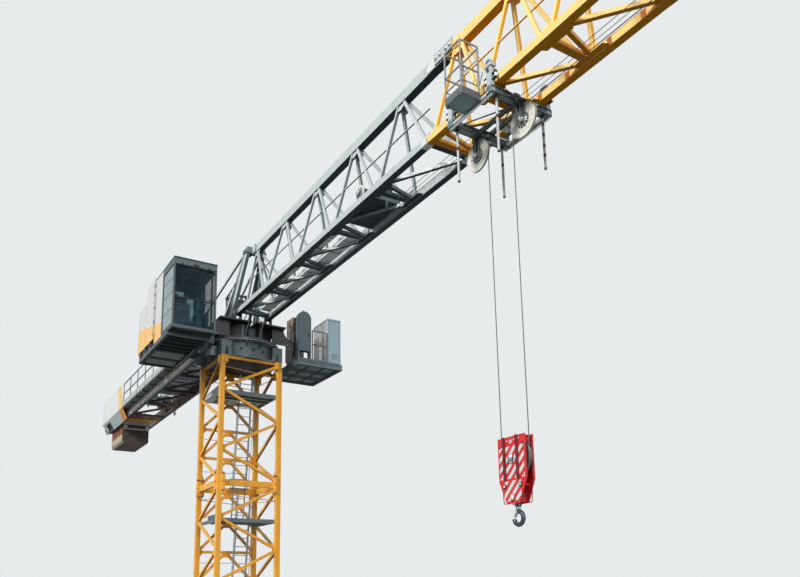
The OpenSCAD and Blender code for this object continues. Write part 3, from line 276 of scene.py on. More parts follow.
def cab_zones(s, color):
    """White side, yellow foot under a slanting line, dark frames round the glass, painted light inside, painted
    shade on the undersides.
    """
    x, y, z = s.xyz()
    line = s.math("ADD", s.minus(z, TOP), s.times(x, 0.21))
    foot = s.flip(s.above(line, 1.035))
    color = s.mix(foot, color, (252, 196, 92))
    front = s.above(x, 0.4)
    color = s.mix(front, color, (46, 62, 70))
    # painted light: the inside of the cab is made pale teal to stand in for light inside it
    inner = s.every(s.inside(x, -0.445, 1.565), s.inside(y, -2.795, -1.495),
            s.inside(z, TOP + 0.505, TOP + 2.665))
    color = s.mix(inner, color, (168, 222, 232))
    roof = s.above(s.normal(2), 0.8)
    color = s.mix(s.times(roof, s.above(z, TOP + 2.67)), color, (150, 158, 160))
    # painted shade on the undersides
    under = s.flip(s.above(s.normal(2), -0.8))
    return s.mix(s.times(under, s.above(y, -2.84)), color, (34, 44, 48))


def cover_zones(s, color):
    """White tail cover with a yellow band at its slanting front edge, painted shade on the slope (grey on the
    white, deep orange on the band) and a two-coloured sheet.
    """
    x, y, z = s.xyz()
    fold = TOP + 1.31
    slope = s.flip(s.above(z, fold, 0.002))
    # painted shade: the slope below the fold is grey instead of white
    color = s.mix(slope, color, (200, 212, 216))
    upper = s.math("ADD", x, s.times(s.minus(z, fold), 0.33))
    lower = s.minus(x, s.times(s.minus(z, fold), 0.4))
    band = s.mix(slope, s.above(upper, -13.58), s.above(lower, -13.58))
    # painted shade: the band is deep orange on the slope, pale yellow above the fold
    color = s.mix(band, color, s.mix(slope, (252, 206, 108), (244, 150, 36)))
    sheet = s.inside(y, -0.7, 0.7)
    return s.mix(sheet, color, s.mix(s.above(x, -13.8), (200, 202, 200), (242, 160, 44)))


def ballast_zones(s, color):
    """Dark front, rusty steel and pale concrete on the sides."""
    z = s.xyz()[2]
    side = s.above(s.size(s.normal(1)), 0.7)
    rusty = s.mix(s.ramp(s.noise(3.2, 6), 0.35, 0.7), (122, 66, 36), (176, 112, 66))
    pale = s.mix(s.ramp(s.noise(4.2, 6), 0.3, 0.7), (196, 182, 156), (214, 204, 182))
    return s.mix(side, color, s.mix(s.above(z, TOP + 0.4), pale, rusty))


def stripe_zones(s, color):
    """Pale diagonal hazard stripes in the panels of the hook block's cheeks, red borders, painted shade on the
    ribs.
    """
    x, y, z = s.xyz()
    far, drop = s.size(s.minus(x, TROLLEY)), s.minus(z, BLOCK)
    run = s.times(s.minus(s.minus(x, TROLLEY), drop), 0.7071)
    stripe = s.inside(s.math("FRACT", s.math("DIVIDE", run, 0.13)), 0.27, 0.74)
    flat = s.every(s.above(s.size(s.normal(1)), 0.9), s.above(s.size(y), 0.095),
            s.flip(s.above(s.size(y), 0.112)))
    panel = s.times(s.inside(drop, -0.735, -0.17), s.flip(s.above(far, 0.31)))
    foot = s.times(s.inside(drop, -1.12, -0.775), s.flip(s.above(far, 0.21)))
    color = s.mix(s.every(stripe, flat, s.math("MAXIMUM", panel, foot)), color, (204, 232, 232))
    # painted shade: the ribs are dark red all over
    rib_shade = s.above(s.size(y), 0.112)
    return s.mix(rib_shade, color, (104, 12, 20))


def trolley_zones(s, color):
    """Slate cross beams, pale posts and bars."""
    y, z = s.xyz()[1], s.xyz()[2]
    far = s.above(s.size(y), 0.632)
    color = s.mix(far, color, (196, 202, 204))
    hanging = s.flip(s.above(z, TOP + 1.178))
    return s.mix(hanging, color, (188, 192, 194))


def cabinet_zones(s, color):
    """White side and pale slate front on the tall cabinet, an oily beige machine behind the dome cabinet."""
    x, y = s.xyz()[0], s.xyz()[1]
    tall = s.above(y, 2.6)
    front = s.above(s.normal(0), 0.5)
    color = s.mix(tall, color, s.mix(front, (240, 240, 238), (162, 186, 195)))
    machine = s.times(s.flip(tall), s.flip(s.above(x, 0.88)))
    return s.mix(machine, color, s.mix(s.ramp(s.noise(5, 5), 0.35, 0.65), (70, 52, 38), (150, 132, 104)))


def walkway_zones(s, color):
    """Pale deck sheets between the beams and a pale toe board outside the walkway."""
    y = s.xyz()[1]
    color = s.mix(s.inside(y, -0.7, 0.7), color, (206, 216, 218))
    toe = s.flip(s.above(y, -1.1002, 0.0005))
    return s.mix(toe, color, s.mix(s.ramp(s.noise(3, 4), 0.3, 0.7), (186, 184, 178), (206, 206, 202)))


def platform_zones(s, color):
    """Pale undersides of the rest platforms' sheets."""
    dust = s.mix(s.ramp(s.noise(2.2, 5), 0.35, 0.65), (218, 240, 234), (176, 200, 196))
    return s.mix(s.times(dull_below(s), 0.95), color, dust)


def beam_zones(s, color):
    """Dusty pale webs in the beams' outer recesses, rusty inner faces and cross bars, painted shade on the
    undersides.
    """
    x, y, z = s.xyz()
    far = s.size(y)
    web = s.every(s.inside(far, 0.75, 0.7695), s.above(s.size(s.normal(1)), 0.7),
            s.inside(z, TOP + 0.992, TOP + 1.278))
    dust = s.mix(s.ramp(s.noise(2.4, 5, (0.35, 1, 2.4)), 0.35, 0.62), (255, 246, 236), (214, 188, 168))
    color = s.mix(web, color, dust)
    inner = s.every(s.flip(s.above(far, 0.692)), s.above(x, -14.7))
    rusty = s.mix(s.ramp(s.noise(3.4, 6), 0.35, 0.65), (112, 74, 50), (50, 42, 38))
    color = s.mix(s.times(inner, 0.8), color, rusty)
    # painted shade on the undersides
    return s.mix(s.times(dull_below(s), 0.6), color, (20, 30, 36))


def painted_light_and_shade(s, color, pale, low, amount, shade_amount):
    """Painted light and shade: paler tops and left sides, darker undersides and right sides."""
    left = s.ramp(s.normal(1), -0.3, -0.85)
    lit = s.math("MAXIMUM", s.ramp(s.normal(2), 0.25, 0.8), left)
    color = s.mix(s.times(lit, amount), color, pale)
    under = s.math("MAXIMUM", dull_below(s), s.ramp(s.normal(1), 0.35, 0.85))
    return s.mix(s.times(under, shade_amount), color, low)


def painted_underside_shade(s, color):
    """Painted shade: near-black teal undersides."""
    return s.mix(s.times(dull_below(s), 0.85), color, (22, 34, 38))


# the slate, yellow and tower paints get painted highlights on tops and left sides and painted shade on
# undersides and right sides
def jib_zones(s, color):
    return painted_light_and_shade(s, color, (206, 214, 214), (28, 44, 52), 0.85, 0.85)


def yellow_zones(s, color):
    return painted_light_and_shade(s, color, (255, 228, 150), (226, 136, 30), 0.8, 0.65)


def tower_zones(s, color):
    return painted_light_and_shade(s, color, (250, 198, 92), (196, 98, 24), 0.5, 0.7)


def glass(name):
    """Teal front pane, a painted pale reflection on the left pane, a clear one on the right."""
    s = Shader(name)
    # painted reflection: the left pane is pale and more opaque
    side = s.times(s.ramp(s.size(s.normal(1)), 0.4, 0.6), s.flip(s.above(s.xyz()[1], -2.1)))
    film = s.ramp(s.noise(1.6, 3), 0.3, 0.7)
    color = s.mix(side, s.mix(film, (6, 34, 44), (14, 54, 68)), s.mix(film, (128, 152, 158), (150, 170, 176)))
    s.put(s.bsdf.inputs["Alpha"], s.math("ADD", 0.33, s.times(side, 0.47)))
    s.bsdf.inputs["IOR"].default_value = 1.45
    return s.finish(color, s.ramp(s.noise(5, 4), 0.35, 0.75, 0.03, 0.12), s.noise(2.2, 2), 0.03, 0.004)


def daylight(name):
    """A frosted rear window that glows: painted light standing in for the sky behind it."""
    s = Shader(name)
    color = s.mix(s.ramp(s.noise(2.4, 3), 0.3, 0.7), (98, 140, 154), (146, 186, 196))
    # painted light: the pane glows though it is no lamp
    s.put(s.bsdf.inputs["Emission Color"], color)
    s.bsdf.inputs["Emission Strength"].default_value = 0.65
    return s.finish(color, s.ramp(s.noise(7, 3), 0.3, 0.7, 0.25, 0.45), s.noise(30, 2), 0.05, 0.001)


def rope_wire(name, base, pitch=0.05):
    """Laid wire rope: slanting strands round the rope."""
    s = Shader(name)
    wave = s.new("ShaderNodeTexWave", bands_direction="DIAGONAL")
    s.put(wave.inputs["Vector"], s.place)
    wave.inputs["Scale"].default_value = 1 / pitch
    wave.inputs["Distortion"].default_value = 0.6
    body = srgb(*base)
    color = s.mix(wave.outputs["Fac"], shade(body, 0.5), shade(body, 1.2))
    s.bsdf.inputs["Metallic"].default_value = 0.6
    return s.finish(color, s.ramp(s.noise(20, 3), 0.3, 0.7, 0.35, 0.6), wave.outputs["Fac"], 0.6, 0.004)


M = {
    "tower": paint("tower_yellow", (240, 166, 36), tone=0.08, corner_shade=0.3, streak=0.2, zones=tower_zones,
            wear_color=(176, 112, 48), dirt_and_shade_color=(120, 64, 18)),
    "jib_yellow": paint("jib_yellow", (255, 182, 28), tone=0.06, corner_shade=0.25, streak=0.1, wear=0.35,
            zones=yellow_zones, wear_color=(214, 150, 70), dirt_and_shade_color=(150, 84, 22)),
    "grey": paint("slate_paint", SLATE, zones=jib_zones, dirt_and_shade_color=(44, 42, 40)),
    "slate": paint("slate_paint_plain", SLATE, dirt_and_shade_color=(44, 42, 40), zones=painted_underside_shade),
    "dark": paint("dark_paint", DARK, dirt_and_shade_color=(30, 27, 25), rust=0.15, wear_color=(128, 128, 126),
            zones=painted_underside_shade),
    "turret": paint("turret_paint", (98, 113, 118), dirt_and_shade_color=(62, 48, 38), rust=0.12, streak=0.45,
            zones=painted_underside_shade),
    # the turntable gets heavy painted shade in its corners and on its undersides
    "turntable": paint("turntable_paint", (60, 60, 58), corner_shade=0.7, dirt_and_shade_color=(64, 44, 32), rust=0.45,
            streak=0.9, zones=painted_underside_shade),
    "white": paint("white_paint", WHITE, rough=0.32, tone=0.04, corner_shade=0.25, streak=0.25, wear=0.3,
            dirt_and_shade_color=(120, 112, 100), wear_color=(170, 168, 160)),
    "cab": paint("cab_paint", (218, 218, 216), rough=0.3, tone=0.03, corner_shade=0.22, streak=0.15, wear=0.3,
            zones=cab_zones, dirt_and_shade_color=(104, 98, 90)),
    "cover": paint("cover_paint", (238, 239, 238), rough=0.34, tone=0.02, corner_shade=0.15, streak=0.12, wear=0.3,
            zones=cover_zones, dirt_and_shade_color=(150, 142, 130)),
    "ballast": paint("ballast", (88, 72, 62), rough=0.75, tone=0.2, zones=ballast_zones,
            dirt_and_shade_color=(48, 38, 32), wear_color=(120, 100, 84)),
    "red": paint("block_red", (224, 40, 44), rough=0.36, tone=0.05, corner_shade=0.25, streak=0.15,
            zones=stripe_zones, dirt_and_shade_color=(96, 18, 18), wear_color=(190, 120, 110)),
    "red_plain": paint("red_plain", (168, 24, 30), rough=0.4, dirt_and_shade_color=(60, 12, 12),
            wear_color=(150, 100, 92)),
    "trolley": paint("trolley_paint", (104, 122, 124), zones=trolley_zones, dirt_and_shade_color=(40, 38, 36)),
    "zinc": galvanised("galvanised"),
    "zinc_dark": galvanised("galvanised_dark", (104, 112, 116), 0.45, 0.55),
    "steel": galvanised("bright_steel", (196, 200, 202), 0.26, 0.9),
    "black": plain("black_plastic", (22, 22, 24), 0.45, coat=0.2),
    "rubber": plain("rubber", (28, 28, 30), 0.75, grain=160),
    "ivory": plain("ivory_nylon", (226, 225, 214), 0.42, grain=30, tone=0.06),
    "wire": rope_wire("wire_rope", (96, 98, 100)),
    "wire_dark": rope_wire("wire_rope_dark", (156, 164, 164)),
    "glass": glass("tinted_glass"),
    "hook": plain("forged_steel", (66, 76, 86), 0.34, 0.75, grain=40),
    "jib_mark": plain("chord_mark", (186, 104, 30), 0.5, tone=0.25),
    "sheet": galvanised("deck_sheet", (235, 242, 246), 0.5, 0.05),
    "platform": paint("platform_zinc", (92, 108, 118), rough=0.45, tone=0.08, corner_shade=0.3, streak=0.2,
            zones=platform_zones, dirt_and_shade_color=(70, 66, 60), metallic=0.2),
    "pale": paint("pale_grey_paint", (190, 202, 206), tone=0.05, corner_shade=0.3, streak=0.35, wear=0.3,
            dirt_and_shade_color=(86, 80, 72)),
    "rust_mark": plain("rust_mark", (92, 58, 42), 0.75, tone=0.35),
    "red_bright": paint("red_bright", (206, 44, 46), rough=0.36, dirt_and_shade_color=(80, 16, 16)),
    "cab_dark": paint("cab_dark", (44, 62, 69), rough=0.36, tone=0.08, streak=0.2, zones=painted_underside_shade),
    "fascia": paint("fascia_paint", (118, 134, 142), tone=0.06, corner_shade=0.3, streak=0.15,
            dirt_and_shade_color=(58, 54, 50), zones=painted_underside_shade),
    "cab_frame": paint("cab_frame", (84, 100, 106), rough=0.5, tone=0.06, corner_shade=0.2, streak=0.1,
            zones=painted_underside_shade),
    "seat": plain("seat_cloth", (96, 132, 142), 0.8, grain=140),
    "daylight": daylight("window_daylight"),
    "panel": paint("floor_panel", (150, 178, 180), rough=0.5, tone=0.08, corner_shade=0.4, streak=0.1,
            dirt_and_shade_color=(70, 56, 44)),
    "screen": plain("monitor_glass", (20, 44, 54), 0.12, coat=0.8, grain=8, depth=0.05),
    "recess": paint("beam_recess", (250, 246, 240), rough=0.5, tone=0.06, corner_shade=0.3, streak=0.7,
            dirt_and_shade_color=(128, 92, 66), rust=0.35),
    "cabinet": paint("cabinet_paint", (92, 104, 110), rough=0.36, tone=0.04, corner_shade=0.2, streak=0.1, wear=0.3,
            zones=cabinet_zones, dirt_and_shade_color=(84, 76, 68)),
    "walkway": paint("walkway_zinc", (96, 106, 110), rough=0.5, zones=walkway_zones,
            dirt_and_shade_color=(60, 52, 44)),
    "beam": paint("beam_paint", (54, 64, 70), zones=beam_zones, dirt_and_shade_color=(44, 34, 28), rust=0.2,
            wear_color=(128, 128, 126)),
}

MATERIAL_NODES = {
    "tower": "base_frame tower_legs tower_side_left tower_side_right tower_side_front tower_side_back",
    "platform": "rest_platforms",
    "zinc": "tower_ladders trolley_basket block_sheave",
    "turret": "slewing_support",
    "turntable": "turntable",
    "grey": "head_frame jib_inner_chords jib_inner_left_web jib_inner_right_web jib_inner_floor",
    "jib_yellow": "jib_outer_chords jib_outer_left_web jib_outer_right_web jib_outer_floor jib_nose",
    "wire": "jib_ropes",
    "slate": "trolley_winch hoist_drum",
    "white": "trolley_winch_drum",
    "beam": "counter_jib_frame",
    "walkway": "counter_jib_walkway",
    "zinc_dark": "railings",
    "cover": "tail_cover",
    "ballast": "counterweights",
    "dark": "hoist_winch cab_platform",
    "cab": "cab_shell cab_housing",
    "glass": "cab_glass",
    "seat": "operator_seat",
    "fascia": "service_platform",
    "cabinet": "service_cabinets",
    "trolley": "trolley_frame",
    "ivory": "rear_rope_sheave front_rope_sheave",
    "wire_dark": "hoist_ropes",
    "red": "hook_block",
    "hook": "hook",
}
for key, names in MATERIAL_NODES.items():
    for node in names.split():
        NODES[node].data.materials.clear()
        NODES[node].data.materials.append(M[key])


# ---------------------------------------------------------------- mesh pieces
def unit(v):
    return Vector(v).normalized()


def cross_axes(axis):
    """Two unit vectors that make a right-handed frame with axis."""
    a = unit(axis)
    u = a.cross(Vector(Z) if abs(a.z) < 0.9 else Vector(X)).normalized()
    return u, a.cross(u)


def circle(n, shift=0.0, flat=False):
    """n unit vectors round the Y axis, or round the Z axis when flat; shift is in steps."""
    for k in range(n):
        t = 2 * math.pi * (k + shift) / n
        yield Vector((math.cos(t), math.sin(t), 0) if flat else (math.cos(t), 0, math.sin(t)))


class Build:
    """One piece of the scene: many small solids that ride on a body. Its heights count from up."""

    def __init__(self, name, body, slot, *mats, up=0.0):
        self.name, self.body, self.slot, self.mats, self.up = name, body, slot, mats, up
        self.verts, self.faces, self.marks = [], [], []

    def raw(self, verts, faces, mat):
        base = len(self.verts)
        self.verts += [(v[0], v[1], v[2] + self.up) for v in verts]
        self.faces += [[base + i for i in f] for f in faces]
        self.marks += [self.mats.index(mat) if mat else 0] * len(faces)

    def solid(self, middle, axes, half, mat=None, c=0.004):
        """A box about middle with chamfered edges."""
        c = min(c, 0.4 * min(half))
        signs = [(i, j, k) for i in (-1, 1) for j in (-1, 1) for k in (-1, 1)]
        at, local = {}, []
        for s in signs:
            for k in range(3):
                at[s, k] = len(local)
                local.append(Vector([s[j] * (half[j] - (0 if j == k else c)) for j in range(3)]))
        faces = [[at[s, k] for k in range(3)] for s in signs]
        for k in range(3):
            a, b = [j for j in range(3) if j != k]
            for e in (-1, 1):
                ring = []
                for p, q in ((-1, -1), (1, -1), (1, 1), (-1, 1)):
                    s = [0, 0, 0]
                    s[k], s[a], s[b] = e, p, q
                    ring.append(at[tuple(s), k])
                faces.append(ring)
                for q in (-1, 1):
                    low, high = [0, 0, 0], [0, 0, 0]
                    low[a] = high[a] = e
                    low[b] = high[b] = q
                    low[k], high[k] = -1, 1
                    low, high = tuple(low), tuple(high)
                    faces.append([at[low, a], at[high, a], at[high, b], at[low, b]])
        for f in faces:
            n = (local[f[1]] - local[f[0]]).cross(local[f[2]] - local[f[0]])
            if n.dot(local[f[0]] + local[f[1]] + local[f[2]]) < 0:
                f.reverse()
        m = Matrix([unit(x) for x in axes]).transposed()
        if m.determinant() < 0:
            faces = [f[::-1] for f in faces]
        self.raw([Vector(middle) + m @ v for v in local], faces, mat)

    def box(self, a, b, mat=None, c=0.004):
        """A level box between two opposite corners."""
        self.block([(p + q) / 2 for p, q in zip(a, b)], [abs(q - p) for p, q in zip(a, b)], mat, c)

    def block(self, middle, size, mat=None, c=0.004):
        """A level box about its middle."""
        self.solid(middle, (X, Y, Z), [e / 2 for e in size], mat, c)

    def bar(self, p, q, w, d, mat=None, up=Z, c=0.004):
        """A straight bar from p to q: w wide level with the ground, d deep."""
        run = Vector(q) - Vector(p)
        side = Vector(up).cross(run)
        side = unit(side) if side.length > 1e-6 else Vector(Y)
        self.solid((Vector(p) + Vector(q)) / 2, (side, unit(run).cross(side), run),
                (w / 2, d / 2, run.length / 2), mat, c)

    def lathe(self, origin, axis, profile, mat=None, n=18, loop=False):
        """A turned solid: profile is (radius, height) along axis, from pole to pole or closed on itself."""
        u, v = cross_axes(axis)
        a, o = unit(axis), Vector(origin)
        verts, rings = [], []
        for r, h in profile:
            if r == 0:
                rings.append([len(verts)])
                verts.append(o + a * h)
            else:
                rings.append(list(range(len(verts), len(verts) + n)))
                for i in range(n):
                    t = 2 * math.pi * (i + 0.5) / n
                    verts.append(o + a * h + (u * math.cos(t) + v * math.sin(t)) * r)
        faces = []
        for k in range(len(rings) - (0 if loop else 1)):
            p, q = rings[k], rings[(k + 1) % len(rings)]
            for i in range(n):
                j = (i + 1) % n
                if len(p) == 1 and len(q) > 1:
                    faces.append([p[0], q[j], q[i]])
                elif len(q) == 1 and len(p) > 1:
                    faces.append([p[i], p[j], q[0]])
                elif len(p) > 1:
                    faces.append([p[i], p[j], q[j], q[i]])
        self.raw(verts, faces, mat)

    def rod(self, p, q, r, mat=None, n=12):
        run = Vector(q) - Vector(p)
        h, e = run.length, min(r * 0.25, run.length * 0.2)
        self.lathe(p, run, [(0, 0), (r - e, 0), (r, e), (r, h - e), (r - e, h), (0, h)], mat, n)

    def ring(self, at, axis, r_in, r_out, h, mat=None, n=28):
        e = min(0.2 * h, 0.2 * (r_out - r_in))
        self.lathe(at, axis, [(r_in, e), (r_in + e, 0), (r_out - e, 0), (r_out, e), (r_out, h - e),
                (r_out - e, h), (r_in + e, h), (r_in, h - e)], mat, n, True)

    def bolt(self, at, axis, r=0.012, h=0.012, mat=None, washer=True):
        base = Vector(at)
        if washer:
            self.lathe(base, axis, [(0, 0), (1.5 * r, 0), (1.5 * r, 0.15 * h), (1.4 * r, 0.22 * h),
                    (0, 0.22 * h)], mat, 12)
            base = base + unit(axis) * 0.2 * h
        self.lathe(base, axis, [(0, 0), (1.1 * r, 0), (1.1 * r, 0.8 * h), (0.9 * r, h), (0, h)], mat, 6)

    def tube(self, points, r, mat=None, n=8):
        """A round bar along a bent line."""
        pts = [Vector(p) for p in points]
        verts, side = [], None
        for k, p in enumerate(pts):
            along = unit(pts[min(k + 1, len(pts) - 1)] - pts[max(k - 1, 0)])
            side = cross_axes(along)[0] if side is None else unit(side - along * side.dot(along))
            other = along.cross(side)
            for i in range(n):
                t = 2 * math.pi * i / n
                verts.append(p + (side * math.cos(t) + other * math.sin(t)) * r)
        faces = [list(range(n))[::-1], list(range(len(verts) - n, len(verts)))]
        for k in range(len(pts) - 1):
            for i in range(n):
                j = (i + 1) % n
                faces.append([k * n + i, k * n + j, k * n + n + j, k * n + n + i])
        self.raw(verts, faces, mat)

    def plate(self, outline, origin, u, v, t, mat=None):
        """A flat plate, t thick about its middle plane, from an outline in the plane of u and v."""
        u, v, o = unit(u), unit(v), Vector(origin)
        area = sum(p[0] * q[1] - q[0] * p[1] for p, q in zip(outline, outline[1:] + outline[:1]))
        outline = outline if area > 0 else outline[::-1]
        w, n = u.cross(v), len(outline)
        verts = [o + u * p[0] + v * p[1] + w * e for e in (-t / 2, t / 2) for p in outline]
        faces = [list(range(n))[::-1], list(range(n, 2 * n))]
        faces += [[i, (i + 1) % n, n + (i + 1) % n, n + i] for i in range(n)]
        self.raw(verts, faces, mat)

    def cap(self, origin, axis, profile, mat=None, n=18):
        """A turned solid that starts at the pole and ends level with the last point of its profile."""
        self.lathe(origin, axis, [(0, 0), *profile, (0, profile[-1][1])], mat, n)

    def spokes(self, middle, reach, half, mat, n, shift=0.0, c=0.002):
        """Flat bars round the Y axis; half is half their length, width and thickness."""
        for u in circle(n, shift):
            self.solid(Vector(middle) + u * reach, (u, (-u.z, 0, u.x), Y), half, mat, c)

    def bolts(self, places, axis, r, h, mat, washer=True):
        for at in places:
            self.bolt(at, axis, r, h, mat, washer)

    def done(self, rides=True):
        """Make the mesh and its piece; rides is False where the piece is left on no body."""
        mesh = bpy.data.meshes.new(self.name)
        mesh.from_pydata(self.verts, [], self.faces)
        for key in self.mats:
            mesh.materials.append(M[key])
        mesh.polygons.foreach_set("material_index", self.marks)
        mesh.polygons.foreach_set("use_smooth", [True] * len(self.faces))
        mesh.update()
        mesh.set_sharp_from_angle(angle=math.radians(40))
        piece = bpy.data.objects.new(self.name, mesh)
        scene.collection.objects.link(piece)
        if rides:
            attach(piece, self.body)
        return piece


CORNERS = ((1, 1), (1, -1), (-1, 1), (-1, -1))
LEG_IN, LEG_OUT = LEG - LEG_W / 2, LEG + LEG_W / 2
PANEL = (SECTION - 0.2) / 4       # height of a lattice panel
LOUVRE = (Y, (0.8, 0, 0.6), (-0.6, 0, 0.8))    # axes of a slat that faces along X
DECKS = [BASE + (i + 1) * SECTION - 1.1 for i in range(3)]


def face_frames():
    """Each tower side: its corner-to-corner axis, its outward axis and whether it is the back."""
    return ((X, (0, -1, 0), False), (X, Y, False), (Y, X, False), (Y, (-1, 0, 0), True))


def tower_pieces():
    b = Build("tower_bolts", "tower", "zinc", "black", "steel", "zinc")
    for sx, sy in CORNERS:
        for x, y in ((sx * (LEG_IN - LUG_W / 2), sy * LEG), (sx * LEG, sy * (LEG_IN - LUG_W / 2))):
            for k in range(4):
                z = BASE + k * SECTION
                if k < 3:
                    b.lathe((x, y, z + LUG_H), Z, [(0, 0), (0.04, 0), (0.04, 0.012), (0.034, 0.016),
                            (0.037, 0.03), (0.037, 0.055), (0.026, 0.07), (0, 0.073)], "black", 14)
                if k:
                    b.bolt((x, y, z - LUG_H), (0, 0, -1), 0.028, 0.03, "steel")
                    b.rod((x, y, z - LUG_H - 0.03), (x, y, z - LUG_H - 0.055), 0.016, "zinc")
    b.done()

    # large bolt lugs in pairs at the section joints, on both outer faces of each leg
    b = Build("tower_joint_lugs", "tower", "tower_paint", "tower", "black", "zinc")
    for sx, sy in CORNERS:
        for k in range(1, 4):
            z = BASE + k * SECTION
            for turned in (False, True):
                def at(along, out, height):
                    p = (sx * along, sy * out) if not turned else (sx * out, sy * along)
                    return (*p, height)
                for za, zz in ((z - 0.25, z - 0.006), (z + 0.006, z + 0.25)):
                    if za > TOP:
                        continue
                    b.box(at(LEG_IN - 0.085, LEG, za), at(LEG_IN + 0.03, LEG_OUT + 0.045, zz), "tower", 0.008)
                if k < 3:
                    b.lathe(at(LEG_IN - 0.03, LEG_OUT + 0.002, z + 0.25), Z,
                            [(0, 0), (0.04, 0), (0.04, 0.05), (0.028, 0.068), (0, 0.07)], "black", 14)
                b.bolt(at(LEG_IN - 0.03, LEG_OUT + 0.002, z - 0.25), (0, 0, -1), 0.026, 0.03, "zinc")
    b.done()

    b = Build("tower_top_lugs", "tower", "dark_paint", "black")
    for sx, sy in CORNERS:
        for x, y, wx, wy in ((sx * (LEG_IN - LUG_W / 2), sy * (LEG_OUT + 0.006), 0.045, 0.026),
                (sx * (LEG_OUT + 0.006), sy * (LEG_IN - LUG_W / 2), 0.026, 0.045)):
            b.box((x - wx, y - wy, TOP + 0.002), (x + wx, y + wy, TOP + 0.2), "black", 0.008)
            b.lathe((x, y, TOP + 0.2), Z, [(0, 0), (0.026, 0), (0.026, 0.012), (0.034, 0.02), (0.034, 0.05),
                    (0.022, 0.066), (0, 0.068)], "black", 14)
    b.done()

    b = Build("tower_gussets", "tower", "tower_paint", "tower")
    for along, out, back in face_frames():
        along, out = Vector(along), Vector(out)
        middle = out * (LEG + (0.001 if back else 0.0))
        for i in range(3):
            for k in range(5):
                z = BASE + i * SECTION + SECTION - 0.1 - k * PANEL
                if back:
                    if k < 4:
                        b.plate([(-0.15, 0.05), (0.15, 0.05), (0.1, -0.16), (-0.1, -0.16)],
                                middle + Vector((0, 0, z)), along, Z, 0.078)
                    sides = (1, -1) if k else ()
                else:
                    sides = (1 if k % 2 == 0 else -1,)
                for s in sides:
                    foot = middle + along * (s * LEG_IN) + Vector((0, 0, z))
                    low, high = (-0.18, 0.18) if 0 < k < 4 else ((-0.2, 0.0) if k == 0 else (0.0, 0.2))
                    shift = -0.24 if k == 0 else (0.24 if k == 4 else 0)
                    b.plate([(0.002, low + shift), (0.002, high + shift), (-0.09, high * 0.35 + shift * 0.6),
                            (-0.09, low * 0.35 + shift * 0.6)], foot, along * s, Z, 0.012)
    b.done()

    b = Build("tower_tie_rods", "tower", "tower_paint", "tower")
    for along, out, back in face_frames():
        along, out = Vector(along), Vector(out)
        for i in range(3):
            z = BASE + (i + 1) * SECTION
            p = out * (LEG - 0.045) - along * LEG_IN + Vector((0, 0, z - 0.36))
            q = out * (LEG - 0.045) + along * LEG_IN + Vector((0, 0, z - 0.5))
            b.rod(p, q, 0.013)
            for e in (0.3, 0.62):
                b.rod(p.lerp(q, e), p.lerp(q, e) + out * 0.012 + Vector((0, 0, 0.03)), 0.01)
    b.done()

    b = Build("deck_details", "tower", "grey_paint", "zinc_dark", "white", "zinc")
    for z in DECKS:
        b.box((-0.86, -0.946, z - 0.1), (0.86, -0.95, z + 0.13), "zinc_dark", 0.002)
        b.box((-0.84, -0.9535, z - 0.02), (-0.1, -0.951, z + 0.11), "white", 0.0008)
        for y in (-0.62, -0.3, 0.02):
            b.box((-0.7 if y < 0 else 0.26, y - 0.02, z - 0.085), (0.4, y + 0.02, z - 0.041), "zinc_dark",
                    0.003)
        for y in (-0.62, -0.3):
            b.block((0.685, y, z - 0.063), (0.31, 0.04, 0.044), "zinc_dark", 0.003)
        for x in (-0.735, 0.05):
            b.block((x, 0.36, z + 0.0255), (0.012, 0.68, 0.049), "zinc", 0.002)
        b.box((-0.735, 0.699, z + 0.001), (0.05, 0.711, z + 0.05), "zinc", 0.002)
        b.box((0.06, 0.02, z + 0.001), (0.62, 0.7, z + 0.025), "zinc_dark", 0.004)
        for y in (0.12, 0.6):
            b.rod((0.07, y - 0.06, z + 0.03), (0.07, y + 0.06, z + 0.03), 0.016, "zinc")
        for x in (-0.5, 0.1, 0.7):
            b.bolt((x, -0.9535, z - 0.05), (0, -1, 0), 0.01, 0.008, "zinc")
    b.done()

    b = Build("ladder_guards", "tower", "zinc", "zinc", "zinc_dark")
    lean = 0.52 / SECTION
    for i in range(3):
        z0 = 0.0 if i == 0 else DECKS[i - 1]
        z1 = DECKS[i] + 0.9

        def at(z, dx=0.0, dy=0.0):
            return (-0.817 + (z - z0) * lean + dx, 0.3 + dy, z)
        first = z0 + 1.15
        for s in (-1, 1):
            b.tube([at(first, 0.0, s * 0.255), at(first + 0.1, 0.16, s * 0.262),
                    at(z1 - 1.5, 0.18, s * 0.262), at(z1 - 0.1, 0.1, s * 0.255)], 0.011, "zinc")
            b.tube([at(first + 0.1, -0.02, s * 0.25), at(z1 - 0.06, -0.02, s * 0.25)], 0.013, "zinc")
        z = first + 0.1
        while z < z1 - 0.2:
            for s in (-1, 1):
                b.rod(at(z, 0.0, s * 0.222), at(z, 0.17 if z < z1 - 1.6 else 0.12, s * 0.262), 0.009, "zinc")
            z += 0.56
        for dz in (0.0, 0.3):
            b.box(at(first + dz, -0.05, -0.34), at(first + dz + 0.035, 0.03, 0.34), "zinc_dark", 0.004)
        b.box(at(first - 0.01, 0.03, -0.34), at(first + 0.012, 0.16, 0.34), "zinc_dark", 0.003)
        for y in (-0.3, 0.3):
            b.bar(at(first + 0.01, -0.03, y), at(first + 0.31, -0.01, y), 0.014, 0.014, "zinc")
        for z in (first + 0.55, first + 1.66):
            b.rod((-LEG_IN - 0.002, -LEG_IN + 0.03, z), (-LEG_IN + 0.018, 0.06, z), 0.01, "zinc")
            b.rod((-LEG_IN + 0.02, 0.06, z), at(z, -0.02, -0.25), 0.01, "zinc")
    b.done()

